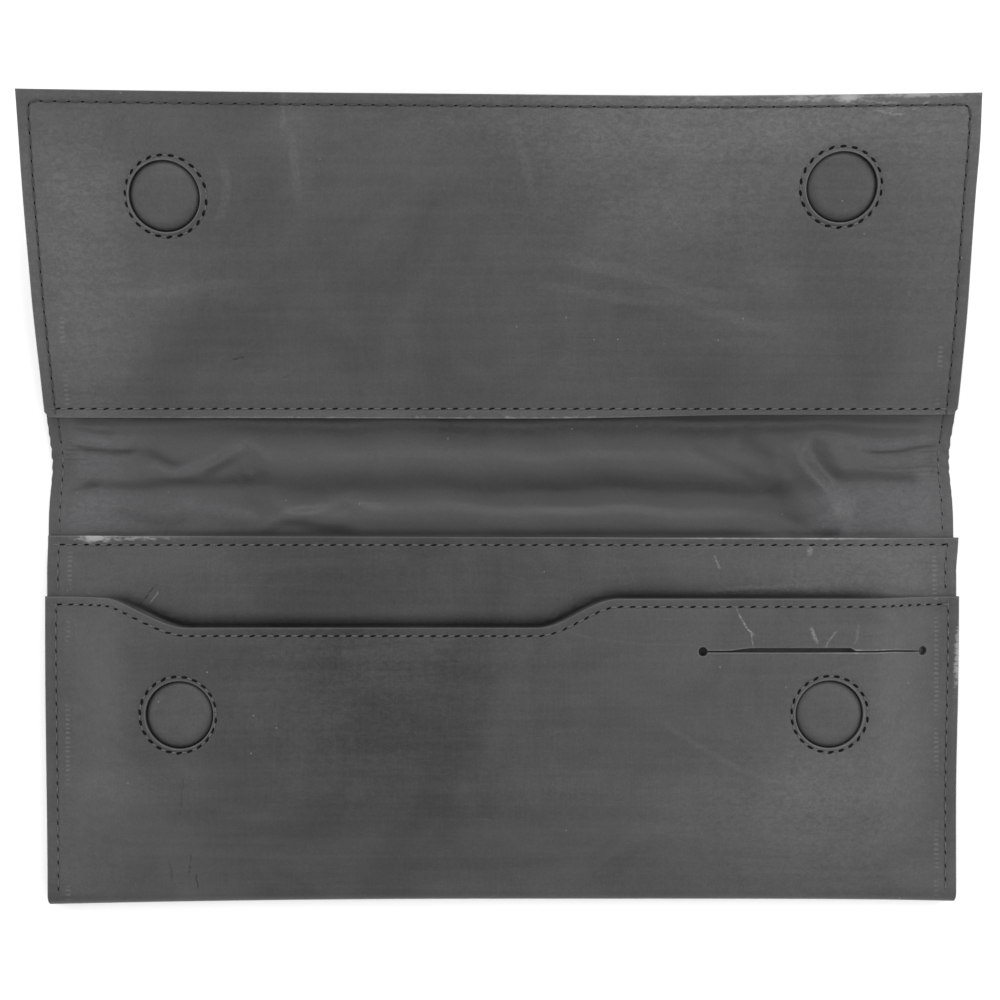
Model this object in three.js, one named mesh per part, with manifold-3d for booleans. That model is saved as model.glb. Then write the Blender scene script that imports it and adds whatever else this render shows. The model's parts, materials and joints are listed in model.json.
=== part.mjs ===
// A leather travel pouch, lying open on its back with the flap a little raised.
//
// One outer skin runs from the mouth of the front pocket, round the bottom fold, up the back and
// over the spine to the free edge of the flap. Inside it lie a thin lining, a second pocket panel
// and the lining of the front pocket. Two pairs of covered magnets hold the flap shut, and thread
// seams hold the layers together. The spine bends at two creases.
//
// Millimetres, +X across the pouch, +Y from the bottom fold to the flap, +Z up from the table.
import * as THREE from "three";
import { mergeVertices } from "three/addons/utils/BufferGeometryUtils.js";
import Module from "manifold-3d";

const wasm = await Module();
wasm.setup();

// Outline, measured from the bottom fold
const pouchWidth = 240;
const frontDepth = 79.3; // up to the high part of the front pocket's mouth
const pocketDepth = 95.7; // up to the mouth of the pocket behind it
const creaseRise = 14.3; // from that mouth to the first crease
const flapReach = 83.2; // from the second crease to the free edge
const hemSetback = 1.8; // from the second crease to the flap panel's hem

// Thumb cut in the front pocket's mouth: its two slopes, each with its run and how far its middle
// lies from that side of the pouch
const thumbCutDepth = 7.5;
const thumbCutLeftInset = 26;
const thumbCutLeftRun = 25;
const thumbCutRightInset = 104.5;
const thumbCutRightRun = 23;

// Layers
const skinThickness = 1.3;
const liningThickness = 0.5;
const pocketPanelThickness = 1.1;
const frontLiningThickness = 0.5;
const cardSheetThickness = 0.3;
const patchThickness = 0.3;
const interliningThickness = 0.5;
const layerGap = 0.2;
const pocketOpening = 4.4; // how far each pocket stands open away from its seams

// How the pockets swell from their seams
const seamStrip = 4.5;
const swellRun = 18.5;

// Magnets and their covers
const magnetDiameter = 16;
const magnetThickness = 2;
const magnetInset = 36; // from each side of the pouch
const magnetShift = 0.95; // the pair sits a little right of the middle
const magnetHeight = 51.2; // above the bottom fold
const coverThickness = 0.5;
const coverProud = 0.7; // above the panel
const coverFlange = 3; // beyond the dome
const coverShoulder = 1.2;
const magnetClearance = 0.2;
const windowClearance = 0.5;
const padClearance = 0.3; // between facing covers when the pouch is shut

// Card slot
const slotLength = 58.7;
const slotWidth = 0.9;
const slotDrop = 12.5; // below the mouth's high part
const slotInset = 39.3; // from the right side of the pouch to the slot's middle
const slotPunch = 2.3;
const cardSheetMargin = 1.4;
const cardRoom = 0.9; // between the sheet behind the slot and a magnet's patch

// Thread
const threadWidth = 0.7;
const threadHeight = 0.4;
const sideSeamInset = 2.9;
const mouthSeamInset = 2.1;
const ringSeamInset = 1.4; // outside a magnet's window
const seamCornerRadius = 2;
const seamEndInset = 2.6;

// The fold
const restFold = THREE.MathUtils.degToRad(7); // at each crease, as the pouch lies
const creaseGap = 0.2;
const threadCreaseGap = 0.9;

const roundSteps = 32;
const bendSteps = 8;
const easeSteps = 8;

// Heights at the seams and away from them, bottom to top
const liningTop = skinThickness + layerGap + liningThickness;
const pocketPanelSeamTop = liningTop + layerGap + pocketPanelThickness;
const pocketPanelTop = liningTop + pocketOpening + pocketPanelThickness;
const frontLiningSeamTop = pocketPanelSeamTop + layerGap + frontLiningThickness;
const frontLiningTop = pocketPanelTop + pocketOpening + frontLiningThickness;
const cardSheetSeamTop = frontLiningSeamTop + layerGap + cardSheetThickness;
const cardSheetTop = frontLiningTop + layerGap + cardSheetThickness;
const patchTop = cardSheetTop + cardRoom + patchThickness;
const magnetDepth = coverThickness + magnetClearance + magnetThickness - coverProud; // below the panel's face
const frontSeamTop = cardSheetSeamTop + layerGap + skinThickness;
const frontTop = patchTop + layerGap + magnetDepth;
const flapPanelTop = skinThickness + layerGap + magnetDepth;

const halfWidth = pouchWidth / 2;
const seamStripEdge = halfWidth - seamStrip;
const swellEdge = seamStripEdge - swellRun;
const sideSeam = halfWidth - sideSeamInset;
const crossSeamEnd = sideSeam - threadWidth - layerGap;

const foldRadius = frontSeamTop / 2;
const foldInnerRadius = foldRadius - skinThickness;
const layersStart = foldRadius + layerGap;
const swellStart = layersStart + layerGap;
const swellFull = swellStart + swellRun;

const creaseHeight = liningTop; // both creases turn at the lining's inner face
const firstCrease = pocketDepth + creaseRise;
const flapPanelRise = flapPanelTop - creaseHeight;
const shutCreaseHeight = frontTop + 2 * coverProud + padClearance + flapPanelRise;
const spineWidth = shutCreaseHeight - creaseHeight;
const flapMagnetReach = firstCrease - magnetHeight; // so that the magnets meet when the pouch is shut
const openLength =
  firstCrease +
  spineWidth * Math.cos(restFold) +
  flapReach * Math.cos(2 * restFold) +
  creaseHeight * Math.sin(2 * restFold);

const domeRadius = magnetDiameter / 2 + magnetClearance + coverThickness;
const windowRadius = domeRadius + windowClearance;
const flangeRadius = domeRadius + coverFlange;
const ringSeamRadius = windowRadius + ringSeamInset;
const magnetPlaces = [
  ["left", magnetShift - (halfWidth - magnetInset)],
  ["right", magnetShift + (halfWidth - magnetInset)],
];
const slotCentre = halfWidth - slotInset;
const slotHeight = frontDepth - slotDrop;
const thumbCutLeft = thumbCutLeftInset - halfWidth;
const thumbCutRight = halfWidth - thumbCutRightInset;
const tall = 2 * frontTop; // a cutter taller than any layer

const finishes = {
  leather: { color: 0x57585a, roughness: 0.5, metalness: 0 },
  lining: { color: 0x4e4f51, roughness: 0.55, metalness: 0 },
  thread: { color: 0x2b2b2d, roughness: 0.7, metalness: 0 },
  backing: { color: 0x3a3a3c, roughness: 0.9, metalness: 0 },
  magnet: { color: 0x9a9a9e, roughness: 0.3, metalness: 1 },
};

function piece(name, finish, geometry) {
  const mesh = new THREE.Mesh(geometry, new THREE.MeshStandardMaterial(finishes[finish]));
  mesh.name = name;
  return mesh;
}

function toSolid(geometry) {
  const bare = new THREE.BufferGeometry();
  bare.setAttribute("position", geometry.getAttribute("position"));
  bare.setIndex(geometry.index);
  const merged = mergeVertices(bare, 1e-4);
  return new wasm.Manifold(
    new wasm.Mesh({
      numProp: 3,
      vertProperties: merged.attributes.position.array,
      triVerts: new Uint32Array(merged.index.array),
    }),
  );
}

function cutFrom(geometry, cutters) {
  let solid = toSolid(geometry);
  for (const cutter of cutters) solid = solid.subtract(toSolid(cutter));
  const mesh = solid.getMesh();
  const cut = new THREE.BufferGeometry();
  cut.setAttribute("position", new THREE.BufferAttribute(mesh.vertProperties, 3));
  cut.setIndex(new THREE.BufferAttribute(mesh.triVerts, 1));
  cut.computeVertexNormals();
  return cut;
}

// The closed body between two faces, each a grid of points in rows. Left of the middle the cells are
// split one way and right of it the other way, so that the corners of a swelling are mitred.
function bodyBetween(outerFace, innerFace) {
  const rows = outerFace.length;
  const columns = outerFace[0].length;
  const outer = (row, column) => row * columns + column;
  const inner = (row, column) => rows * columns + row * columns + column;
  const index = [];
  const quad = (a, b, c, d) => index.push(a, b, c, a, c, d);
  for (let row = 0; row < rows - 1; row++) {
    for (let column = 0; column < columns - 1; column++) {
      const a = [row, column];
      const b = [row, column + 1];
      const c = [row + 1, column + 1];
      const d = [row + 1, column];
      const [p, q, r, s] = outerFace[row][column][0] < 0 ? [a, b, c, d] : [b, c, d, a];
      quad(outer(...p), outer(...q), outer(...r), outer(...s));
      quad(inner(...p), inner(...s), inner(...r), inner(...q));
    }
  }
  for (let column = 0; column < columns - 1; column++) {
    const end = rows - 1;
    quad(inner(0, column), inner(0, column + 1), outer(0, column + 1), outer(0, column));
    quad(inner(end, column + 1), inner(end, column), outer(end, column), outer(end, column + 1));
  }
  for (let row = 0; row < rows - 1; row++) {
    const side = columns - 1;
    quad(inner(row + 1, 0), inner(row, 0), outer(row, 0), outer(row + 1, 0));
    quad(inner(row, side), inner(row + 1, side), outer(row + 1, side), outer(row, side));
  }
  const body = new THREE.BufferGeometry();
  const points = [...outerFace.flat(), ...innerFace.flat()].flat();
  body.setAttribute("position", new THREE.Float32BufferAttribute(points, 3));
  body.setIndex(index);
  body.computeVertexNormals();
  return body;
}

// How far a pocket has swelled: 0 along its seams, 1 away from them.
function swell(x, y) {
  const fromSide = (seamStripEdge - Math.abs(x)) / swellRun;
  const fromBottom = (y - swellStart) / swellRun;
  return THREE.MathUtils.clamp(Math.min(fromSide, fromBottom), 0, 1);
}

const swelling = (seamTop, top) => (x, y) => THREE.MathUtils.lerp(seamTop, top, swell(x, y));
const frontFace = swelling(frontSeamTop, frontTop);
const frontLiningFace = swelling(frontLiningSeamTop, frontLiningTop);
const cardSheetFace = swelling(cardSheetSeamTop, cardSheetTop);
const pocketPanelFace = swelling(pocketPanelSeamTop, pocketPanelTop);

const acrossPouch = [-halfWidth, -seamStripEdge, -swellEdge, swellEdge, seamStripEdge, halfWidth];

function sheet(across, along, face, thickness) {
  const grid = (sink) => along.map((y) => across.map((x) => [x, y, face(x, y) - sink]));
  return bodyBetween(grid(0), grid(thickness));
}

// A flat layer, from its lowest to its highest corner.
function slab(low, high) {
  const size = high.map((value, axis) => value - low[axis]);
  const middle = high.map((value, axis) => (value + low[axis]) / 2);
  return new THREE.BoxGeometry(...size).translate(...middle);
}

function post(radius, x, y) {
  return new THREE.CylinderGeometry(radius, radius, tall, roundSteps)
    .rotateX(Math.PI / 2)
    .translate(x, y, frontLiningSeamTop + tall / 2);
}

// One slope of the thumb cut, from 0 to 1 as x passes it.
function ease(x, middle, run) {
  const along = THREE.MathUtils.clamp((x - middle) / run + 0.5, 0, 1);
  return (1 - Math.cos(Math.PI * along)) / 2;
}

function mouthEdge(x) {
  const into = ease(x, thumbCutLeft, thumbCutLeftRun);
  const outOf = ease(x, thumbCutRight, thumbCutRightRun);
  return frontDepth - thumbCutDepth * (into - outOf);
}

const along = (from, to, steps) =>
  Array.from({ length: steps + 1 }, (_, step) => THREE.MathUtils.lerp(from, to, step / steps));
const leftSlope = along(thumbCutLeft - thumbCutLeftRun / 2, thumbCutLeft + thumbCutLeftRun / 2, easeSteps);
const rightSlope = along(thumbCutRight - thumbCutRightRun / 2, thumbCutRight + thumbCutRightRun / 2, easeSteps);

function thumbCut() {
  const above = frontDepth + thumbCutDepth;
  const edge = [...leftSlope, ...rightSlope];
  const shape = new THREE.Shape();
  shape.moveTo(edge[0], above);
  for (const x of edge) shape.lineTo(x, mouthEdge(x));
  shape.lineTo(edge.at(-1), above);
  return new THREE.ExtrudeGeometry(shape, { depth: tall, bevelEnabled: false }).translate(0, 0, liningTop);
}

// Thread laid along a path on a face: a low band of one width, just above it.
function threadAlong(path, face) {
  const sides = path.map(([x, y], step) => {
    const [beforeX, beforeY] = path[Math.max(step - 1, 0)];
    const [afterX, afterY] = path[Math.min(step + 1, path.length - 1)];
    const run = Math.hypot(afterX - beforeX, afterY - beforeY);
    const acrossX = ((afterY - beforeY) / run) * (threadWidth / 2);
    const acrossY = ((beforeX - afterX) / run) * (threadWidth / 2);
    return [
      [x - acrossX, y - acrossY],
      [x + acrossX, y + acrossY],
    ];
  });
  const raised = (lift) => sides.map((pair) => pair.map(([x, y]) => [x, y, face(x, y) + layerGap + lift]));
  return bodyBetween(raised(threadHeight), raised(0));
}

function seamAcross(y, face) {
  const stops = [-crossSeamEnd, ...acrossPouch.slice(1, -1), crossSeamEnd].sort((a, b) => a - b);
  return threadAlong(stops.map((x) => [x, y]), face);
}

function ringSeam(x, y, face) {
  const inner = ringSeamRadius - threadWidth / 2;
  const outer = ringSeamRadius + threadWidth / 2;
  const low = face + layerGap;
  const section = [
    [inner, low],
    [outer, low],
    [outer, low + threadHeight],
    [inner, low + threadHeight],
    [inner, low],
  ].map(([r, z]) => new THREE.Vector2(r, z));
  return new THREE.LatheGeometry(section, roundSteps).rotateX(Math.PI / 2).translate(x, y, 0);
}

// The skin of the pouch itself: back, bottom fold and front pocket in one.
function pouchSkin() {
  const outerFace = [];
  const innerFace = [];
  const row = (y, outerZ, innerY, innerZ) => {
    outerFace.push(acrossPouch.map((x) => [x, y, outerZ(x)]));
    innerFace.push(acrossPouch.map((x) => [x, innerY, innerZ(x)]));
  };
  row(firstCrease - creaseGap, () => 0, firstCrease - creaseGap, () => skinThickness);
  for (const turn of along(0, Math.PI, bendSteps)) {
    const y = foldRadius - foldRadius * Math.sin(turn);
    const z = foldRadius - foldRadius * Math.cos(turn);
    const innerY = foldRadius - foldInnerRadius * Math.sin(turn);
    const innerZ = foldRadius - foldInnerRadius * Math.cos(turn);
    row(y, () => z, innerY, () => innerZ);
  }
  for (const y of [swellStart, swellFull, frontDepth]) {
    row(y, (x) => frontFace(x, y), y, (x) => frontFace(x, y) - skinThickness);
  }
  const slot = slab(
    [slotCentre - slotLength / 2, slotHeight - slotWidth / 2, frontLiningSeamTop],
    [slotCentre + slotLength / 2, slotHeight + slotWidth / 2, tall],
  );
  const punches = [-1, 1].map((side) => post(slotPunch / 2, slotCentre + (side * slotLength) / 2, slotHeight));
  const windows = magnetPlaces.map(([, x]) => post(windowRadius, x, magnetHeight));
  return cutFrom(bodyBetween(outerFace, innerFace), [thumbCut(), slot, ...punches, ...windows]);
}

function frontLining() {
  const rows = [layersStart, swellStart, swellFull, frontDepth];
  return cutFrom(sheet(acrossPouch, rows, frontLiningFace, frontLiningThickness), [thumbCut()]);
}

// The sheet behind the card slot, which keeps the cards apart from what is in the front pocket. The
// right side seam holds it.
function cardSheet() {
  const left = slotCentre - slotLength / 2 - cardSheetMargin;
  const across = [left, swellEdge, seamStripEdge, halfWidth];
  const rows = [swellStart, swellFull, slotHeight + slotPunch];
  return sheet(across, rows, cardSheetFace, cardSheetThickness);
}

function sideSeam3d(x) {
  const top = threadHeight;
  const steps = [
    [seamEndInset, frontSeamTop],
    [frontDepth, frontSeamTop],
    [frontDepth, pocketPanelSeamTop],
    [pocketDepth, pocketPanelSeamTop],
    [pocketDepth, liningTop],
    [firstCrease - threadCreaseGap, liningTop],
  ].map(([y, z]) => [y, z + layerGap]);
  const past = layerGap;
  const under = steps.map(([y, z], step) => [step > 0 && step < 5 ? y + past : y, z]);
  const over = steps.map(([y, z], step) => [step > 0 && step < 5 ? y + past + top : y, z + top]);
  const shape = new THREE.Shape([...under, ...over.reverse()].map(([y, z]) => new THREE.Vector2(y, z)));
  return new THREE.ExtrudeGeometry(shape, { depth: threadWidth, bevelEnabled: false })
    .rotateY(Math.PI / 2)
    .rotateX(Math.PI / 2)
    .translate(x - threadWidth / 2, 0, 0);
}

// A thin leather hat over a magnet, open below; its dome comes up through the panel's window.
function magnetCover(x, y, panelFace) {
  const top = panelFace + coverProud;
  const low = panelFace - magnetDepth;
  const cavityRadius = domeRadius - coverThickness;
  const outline = [
    [0, top - coverThickness],
    [cavityRadius, top - coverThickness],
    [cavityRadius, low],
    [flangeRadius, low],
    [flangeRadius, low + coverThickness],
    [domeRadius, low + coverThickness],
    [domeRadius, top - coverShoulder / 2],
    [domeRadius - coverShoulder, top],
    [0, top],
  ].map(([r, z]) => new THREE.Vector2(r, z));
  return new THREE.LatheGeometry(outline, roundSteps).rotateX(Math.PI / 2).translate(x, y, 0);
}

function disc(radius, thickness, x, y, low) {
  return new THREE.CylinderGeometry(radius, radius, thickness, roundSteps)
    .rotateX(Math.PI / 2)
    .translate(x, y, low + thickness / 2);
}

// A magnet with its cover and the ring of thread round it, under a panel whose face is at panelFace.
function closure(place, side, x, y, panelFace) {
  const low = panelFace - magnetDepth;
  return [
    piece(`magnet_${place}_${side}`, "magnet", disc(magnetDiameter / 2, magnetThickness, x, y, low)),
    piece(`magnet_cover_${place}_${side}`, "leather", magnetCover(x, y, panelFace)),
    piece(`magnet_seam_${place}_${side}`, "thread", ringSeam(x, y, panelFace)),
  ];
}

function pouchPieces() {
  const panelRows = [layersStart, swellStart, swellFull, pocketDepth];
  const mouthPath = [-crossSeamEnd, -seamStripEdge, -swellEdge, ...leftSlope, ...rightSlope]
    .concat([swellEdge, seamStripEdge, crossSeamEnd])
    .sort((a, b) => a - b)
    .map((x) => [x, mouthEdge(x) - mouthSeamInset]);
  const lining = slab(
    [-halfWidth, layersStart, liningTop - liningThickness],
    [halfWidth, firstCrease - creaseGap, liningTop],
  );
  const pieces = [
    piece("pouch_skin", "leather", pouchSkin()),
    piece("back_lining", "lining", lining),
    piece("pocket_panel", "leather", sheet(acrossPouch, panelRows, pocketPanelFace, pocketPanelThickness)),
    piece("front_lining", "lining", frontLining()),
    piece("card_slot_sheet", "backing", cardSheet()),
    piece("mouth_seam", "thread", threadAlong(mouthPath, frontFace)),
    piece("pocket_panel_seam", "thread", seamAcross(pocketDepth - mouthSeamInset, pocketPanelFace)),
    piece("side_seam_left", "thread", sideSeam3d(-sideSeam)),
    piece("side_seam_right", "thread", sideSeam3d(sideSeam)),
  ];
  for (const [side, x] of magnetPlaces) {
    const patchLow = patchTop - patchThickness;
    pieces.push(...closure("front", side, x, magnetHeight, frontTop));
    pieces.push(
      piece(`magnet_patch_${side}`, "backing", disc(flangeRadius, patchThickness, x, magnetHeight, patchLow)),
    );
  }
  return pieces;
}

function spinePieces() {
  const low = creaseGap;
  const high = spineWidth - creaseGap;
  const seam = (x) => [threadCreaseGap, spineWidth - threadCreaseGap].map((y) => [x, y]);
  return [
    piece("spine_skin", "leather", slab([-halfWidth, low, 0], [halfWidth, high, skinThickness])),
    piece(
      "spine_lining",
      "lining",
      slab([-halfWidth, low, liningTop - liningThickness], [halfWidth, high, liningTop]),
    ),
    piece("spine_seam_left", "thread", threadAlong(seam(-sideSeam), () => liningTop)),
    piece("spine_seam_right", "thread", threadAlong(seam(sideSeam), () => liningTop)),
  ];
}

// The seam up one side of the flap, across its free edge and down the other.
function flapEdgePath() {
  const low = hemSetback + layerGap;
  const high = flapReach - sideSeamInset;
  const corner = (side, from, to) =>
    along(from, to, bendSteps / 2).map((turn) => [
      side * (sideSeam - seamCornerRadius) + seamCornerRadius * Math.cos(turn),
      high - seamCornerRadius + seamCornerRadius * Math.sin(turn),
    ]);
  return [
    [-sideSeam, low],
    ...corner(-1, Math.PI, Math.PI / 2),
    ...corner(1, Math.PI / 2, 0),
    [sideSeam, low],
  ];
}

function flapPieces() {
  const panelLow = flapPanelTop - skinThickness;
  const layerLow = skinThickness + layerGap;
  const liningEnd = hemSetback + mouthSeamInset + 2 * sideSeamInset;
  const interliningEdge = halfWidth - 2 * sideSeamInset;
  const windows = magnetPlaces.map(([, x]) => post(windowRadius, x, flapMagnetReach).translate(0, 0, -tall / 2));
  const reliefs = magnetPlaces.map(([, x]) =>
    post(flangeRadius + layerGap, x, flapMagnetReach).translate(0, 0, -tall / 2),
  );
  const panel = slab([-halfWidth, hemSetback, panelLow], [halfWidth, flapReach, flapPanelTop]);
  const interlining = slab(
    [-interliningEdge, liningEnd + layerGap, layerLow],
    [interliningEdge, flapReach - 2 * sideSeamInset, layerLow + interliningThickness],
  );
  const onPanel = () => flapPanelTop;
  const pieces = [
    piece("flap_skin", "leather", slab([-halfWidth, creaseGap, 0], [halfWidth, flapReach, skinThickness])),
    piece(
      "flap_lining",
      "lining",
      slab([-halfWidth, creaseGap, layerLow], [halfWidth, liningEnd, layerLow + liningThickness]),
    ),
    piece("flap_interlining", "backing", cutFrom(interlining, reliefs)),
    piece("flap_panel", "leather", cutFrom(panel, windows)),
    piece("flap_edge_seam", "thread", threadAlong(flapEdgePath(), onPanel)),
    piece("flap_hem_seam", "thread", seamAcross(hemSetback + mouthSeamInset, onPanel)),
  ];
  for (const [side, x] of magnetPlaces) {
    pieces.push(...closure("flap", side, x, flapMagnetReach, flapPanelTop));
  }
  return pieces;
}

// Layers that turn about a crease: the crease lies at the lining's inner face.
function beyondCrease(y, z, pieces) {
  const crease = new THREE.Group();
  crease.position.set(0, y, z);
  crease.rotation.x = restFold;
  const layers = new THREE.Group();
  layers.position.z = -creaseHeight;
  layers.add(...pieces);
  crease.add(layers);
  return crease;
}

const pouch = new THREE.Group();
pouch.position.y = -openLength / 2;
const spine = beyondCrease(firstCrease, creaseHeight, spinePieces());
spine.add(beyondCrease(spineWidth, 0, flapPieces()));
pouch.add(...pouchPieces(), spine);

export default pouch;
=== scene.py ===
import json
import math

import bpy
import numpy as np
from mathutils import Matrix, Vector
from mathutils.geometry import delaunay_2d_cdt


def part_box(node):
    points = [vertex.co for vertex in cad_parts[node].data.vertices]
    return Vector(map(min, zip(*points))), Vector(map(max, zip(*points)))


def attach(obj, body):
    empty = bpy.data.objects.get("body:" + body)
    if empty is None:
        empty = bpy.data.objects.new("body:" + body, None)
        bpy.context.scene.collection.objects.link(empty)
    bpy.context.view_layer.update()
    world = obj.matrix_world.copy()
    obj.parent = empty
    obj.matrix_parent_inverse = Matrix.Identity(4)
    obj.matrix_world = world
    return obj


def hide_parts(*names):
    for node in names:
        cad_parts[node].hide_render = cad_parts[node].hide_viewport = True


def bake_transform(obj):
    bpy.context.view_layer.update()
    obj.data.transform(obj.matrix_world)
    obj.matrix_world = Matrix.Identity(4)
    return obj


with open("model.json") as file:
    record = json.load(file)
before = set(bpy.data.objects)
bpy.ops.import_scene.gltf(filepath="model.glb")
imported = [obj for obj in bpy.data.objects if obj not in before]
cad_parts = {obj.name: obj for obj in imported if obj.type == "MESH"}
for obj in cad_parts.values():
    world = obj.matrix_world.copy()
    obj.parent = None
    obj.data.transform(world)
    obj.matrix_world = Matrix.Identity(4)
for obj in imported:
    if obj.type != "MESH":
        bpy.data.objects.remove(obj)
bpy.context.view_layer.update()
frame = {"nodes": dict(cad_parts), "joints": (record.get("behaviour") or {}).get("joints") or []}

mm = 0.001

# Everything is shaped in millimetres: x across the pouch, y up from the bottom fold, z up from the table
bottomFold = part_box("pouch_skin")[0].y
hinges = {joint["name"]: Vector(joint["pos_m"]) for joint in frame["joints"]}
spine = hinges["flap_fold"] - hinges["spine_fold"]
pouch = {
    "halfWidth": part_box("pouch_skin")[1].x / mm,
    "creaseHeight": hinges["spine_fold"].z / mm,
    "firstCrease": (hinges["spine_fold"].y - bottomFold) / mm,
    "spineWidth": spine.length / mm,
    "fold": math.atan2(spine.z, spine.y),
    "flapReach": 83.2,
    "hem": 1.8,  # from the second crease to the edge of the flap's panel
    "pocketMouth": (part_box("pocket_panel")[1].y - bottomFold) / mm + 0.3,
    "frontMouth": (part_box("front_lining")[1].y - bottomFold) / mm + 1.0,
    "foldRadius": 3.0,
    "seamStrip": 4.5,  # the flat edge outside which nothing swells
    "swellRun": 22,  # how far in from it a pocket is fully swelled
    "footRun": 26,  # and how far up from the bottom fold
    "sideSeam": 2.9,  # in from the sides
    "mouthSeam": 2.1,  # down from a mouth
    "hemSeam": 2.8,  # from the second crease
}
halfWidth = pouch["halfWidth"]
secondCrease = pouch["firstCrease"] + pouch["spineWidth"]
midSpine = pouch["firstCrease"] + pouch["spineWidth"] / 2
sideSeamX = halfWidth - pouch["sideSeam"]


def inRow(points):
    return np.asarray(points, float) * mm + (0, bottomFold, 0)


def smooth(t):
    t = np.clip(t, 0, 1)
    return t * t * (3 - 2 * t)


def bell(t):
    return np.exp(-t * t)


def unevenness(x, y, seed):
    # slow hand-made unevenness, from -1 to 1
    return (
        np.sin(x / 17 + seed) * np.sin(y / 13 + 2 * seed)
        + np.sin(x / 31 + 3 * seed + y / 23)
        + 0.6 * np.sin(x / 9 + seed * seed + y / 19)
    ) / 2.6


# How the sewn pouch lies: drawn in at the spine, a little wider at its mouths and flap, and slightly askew.
# Steps and dips along the leather: amount, place and run
outline = {
    "widerSteps": [(0.65, 0, 70), (0.7, 126, 35), (-0.25, 180, 30)],
    "widerDips": [(-1.2, 116, 9)],
    "rightDips": [(0.4, 199, 10), (-0.35, 121, 7), (-0.38, 32, 26)],
    "asideSteps": [(-0.3, 80, 14), (-0.6, 118, 90)],
    "narrower": 0.25,
    "foldRun": 45,  # how far up from the bottom fold its skew is felt
}


def steps(rows, s):
    return sum(amount * smooth((s - at) / run) for amount, at, run in rows)


def dips(rows, s):
    return sum(amount * bell((s - at) / run) for amount, at, run in rows)


def lie(x, s):
    u = x / halfWidth
    wider = steps(outline["widerSteps"], s) + dips(outline["widerDips"], s) - outline["narrower"]
    wider += np.sin(2.1 * s) * dips([(0.16, 118, 8)], s)  # the creases' small waves
    wider += np.where(x > 0, dips(outline["rightDips"], s), 0)
    onFlap = np.clip((s - secondCrease) / pouch["flapReach"], 0, 1) ** 2
    atFold = 1 - smooth(s / outline["foldRun"])
    flapEdge = onFlap * (0.8 * u**2 - 0.45 * u - 0.5 - 0.4 * bell((u - 0.45) / 0.4))
    foldEdge = atFold * (-1.45 * np.minimum(u, 0) ** 2 - 0.6 * np.maximum(u, 0) ** 6)
    return x + u * wider + steps(outline["asideSteps"], s), s + flapEdge + foldEdge


# The heights of each layer, at its seams and where its pocket has swelled
layers = {
    "pocketPanel": (3.3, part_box("pocket_panel")[1].z / mm),
    "frontLining": (4.0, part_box("front_lining")[1].z / mm),
    "cardSheet": (4.5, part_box("card_slot_sheet")[1].z / mm),
    "front": (6.0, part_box("pouch_skin")[1].z / mm),
}


def layerRise(name, x, y):
    seam, top = layers[name]
    fromSide = (halfWidth - pouch["seamStrip"] - np.abs(x)) / pouch["swellRun"]
    fromBottom = (y - pouch["foldRadius"] - 0.4) / pouch["footRun"]
    return seam + (top - seam) * smooth(fromSide) * smooth(fromBottom)


# The wavy mouth of the front pocket
thumbCut = {"depth": 7.5, "left": -92.1, "leftRun": 23, "right": 19.4, "rightRun": 21}


def mouthEdge(x):
    into = smooth((x - thumbCut["left"]) / thumbCut["leftRun"] + 0.5)
    outOf = smooth((x - thumbCut["right"]) / thumbCut["rightRun"] + 0.5)
    return pouch["frontMouth"] - thumbCut["depth"] * (into - outOf)


def hemEdge(x):
    # the hem of the flap's panel, which sags over the crease in the middle
    sag = 0.2 * bell(x / 50) - 0.85 * smooth((x - 10) / 60)
    return pouch["hem"] - 1.45 - sag + 1.5 * smooth(np.abs(x) - halfWidth + 1)


# The leather's line from the back over the spine to the flap, bent softly at each crease
bend = {"softness": 3.5, "step": 0.25}
bendSteps = np.arange(-40, 260, bend["step"])
bendTilt = pouch["fold"] * sum(
    smooth((bendSteps - crease) / (2 * bend["softness"]) + 0.5)
    for crease in (pouch["firstCrease"], secondCrease)
)
bendY = bendSteps[0] + np.concatenate(([0], np.cumsum(np.cos(bendTilt[:-1]) * bend["step"])))
bendZ = np.concatenate(([0], np.cumsum(np.sin(bendTilt[:-1]) * bend["step"])))


def onBack(x, s, rise):
    # s runs along the leather from the bottom fold, rise is the height over the hinges' line
    x, s = lie(x, s)
    tilt = np.interp(s, bendSteps, bendTilt)
    y = np.interp(s, bendSteps, bendY) - rise * np.sin(tilt)
    z = pouch["creaseHeight"] + np.interp(s, bendSteps, bendZ) + rise * np.cos(tilt)
    return np.stack([x, y, z], -1)


def onPocket(x, y, z, aside=0.0):
    x, y = lie(x, y)
    return np.stack([x + aside, y, z], -1)


# How the flap's edge seam pulls the hide up to the panel: how much, how far in, and from where on the flap
edgePull = {"depth": 0.85, "reach": 4.6, "reachRun": 3, "start": 9, "startRun": 5}


# Each face below turns a layer's flat cut into its place on the sewn pouch
def hideFace(p):
    # one hide: down the front, round the bottom fold, up the back and over the spine to the flap
    x, t = p[:, 0], p[:, 1]
    r = pouch["foldRadius"]
    turn = np.clip((r - t) / r, 0, math.pi)
    behind = r + (r - math.pi * r - t)
    front = np.maximum(t, r)
    face = onPocket(x, front, layerRise("front", x, front) + frontUnevenness(x, front))
    fold = onPocket(x, np.full_like(x, r), r + r * np.cos(turn))
    fold[:, 1] -= r * np.sin(turn)
    s = np.maximum(behind, r)
    fromEdge = np.minimum(halfWidth - np.abs(x), secondCrease + pouch["flapReach"] - s)
    pull = edgePull
    pulled = smooth((pull["reach"] - fromEdge) / pull["reachRun"])
    pulled = pulled * smooth((s - secondCrease - pull["start"]) / pull["startRun"])
    back = onBack(x, s, pull["depth"] * pulled - pouch["creaseHeight"])
    return np.where((t >= r)[:, None], face, np.where((behind < r)[:, None], fold, back))


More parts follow.
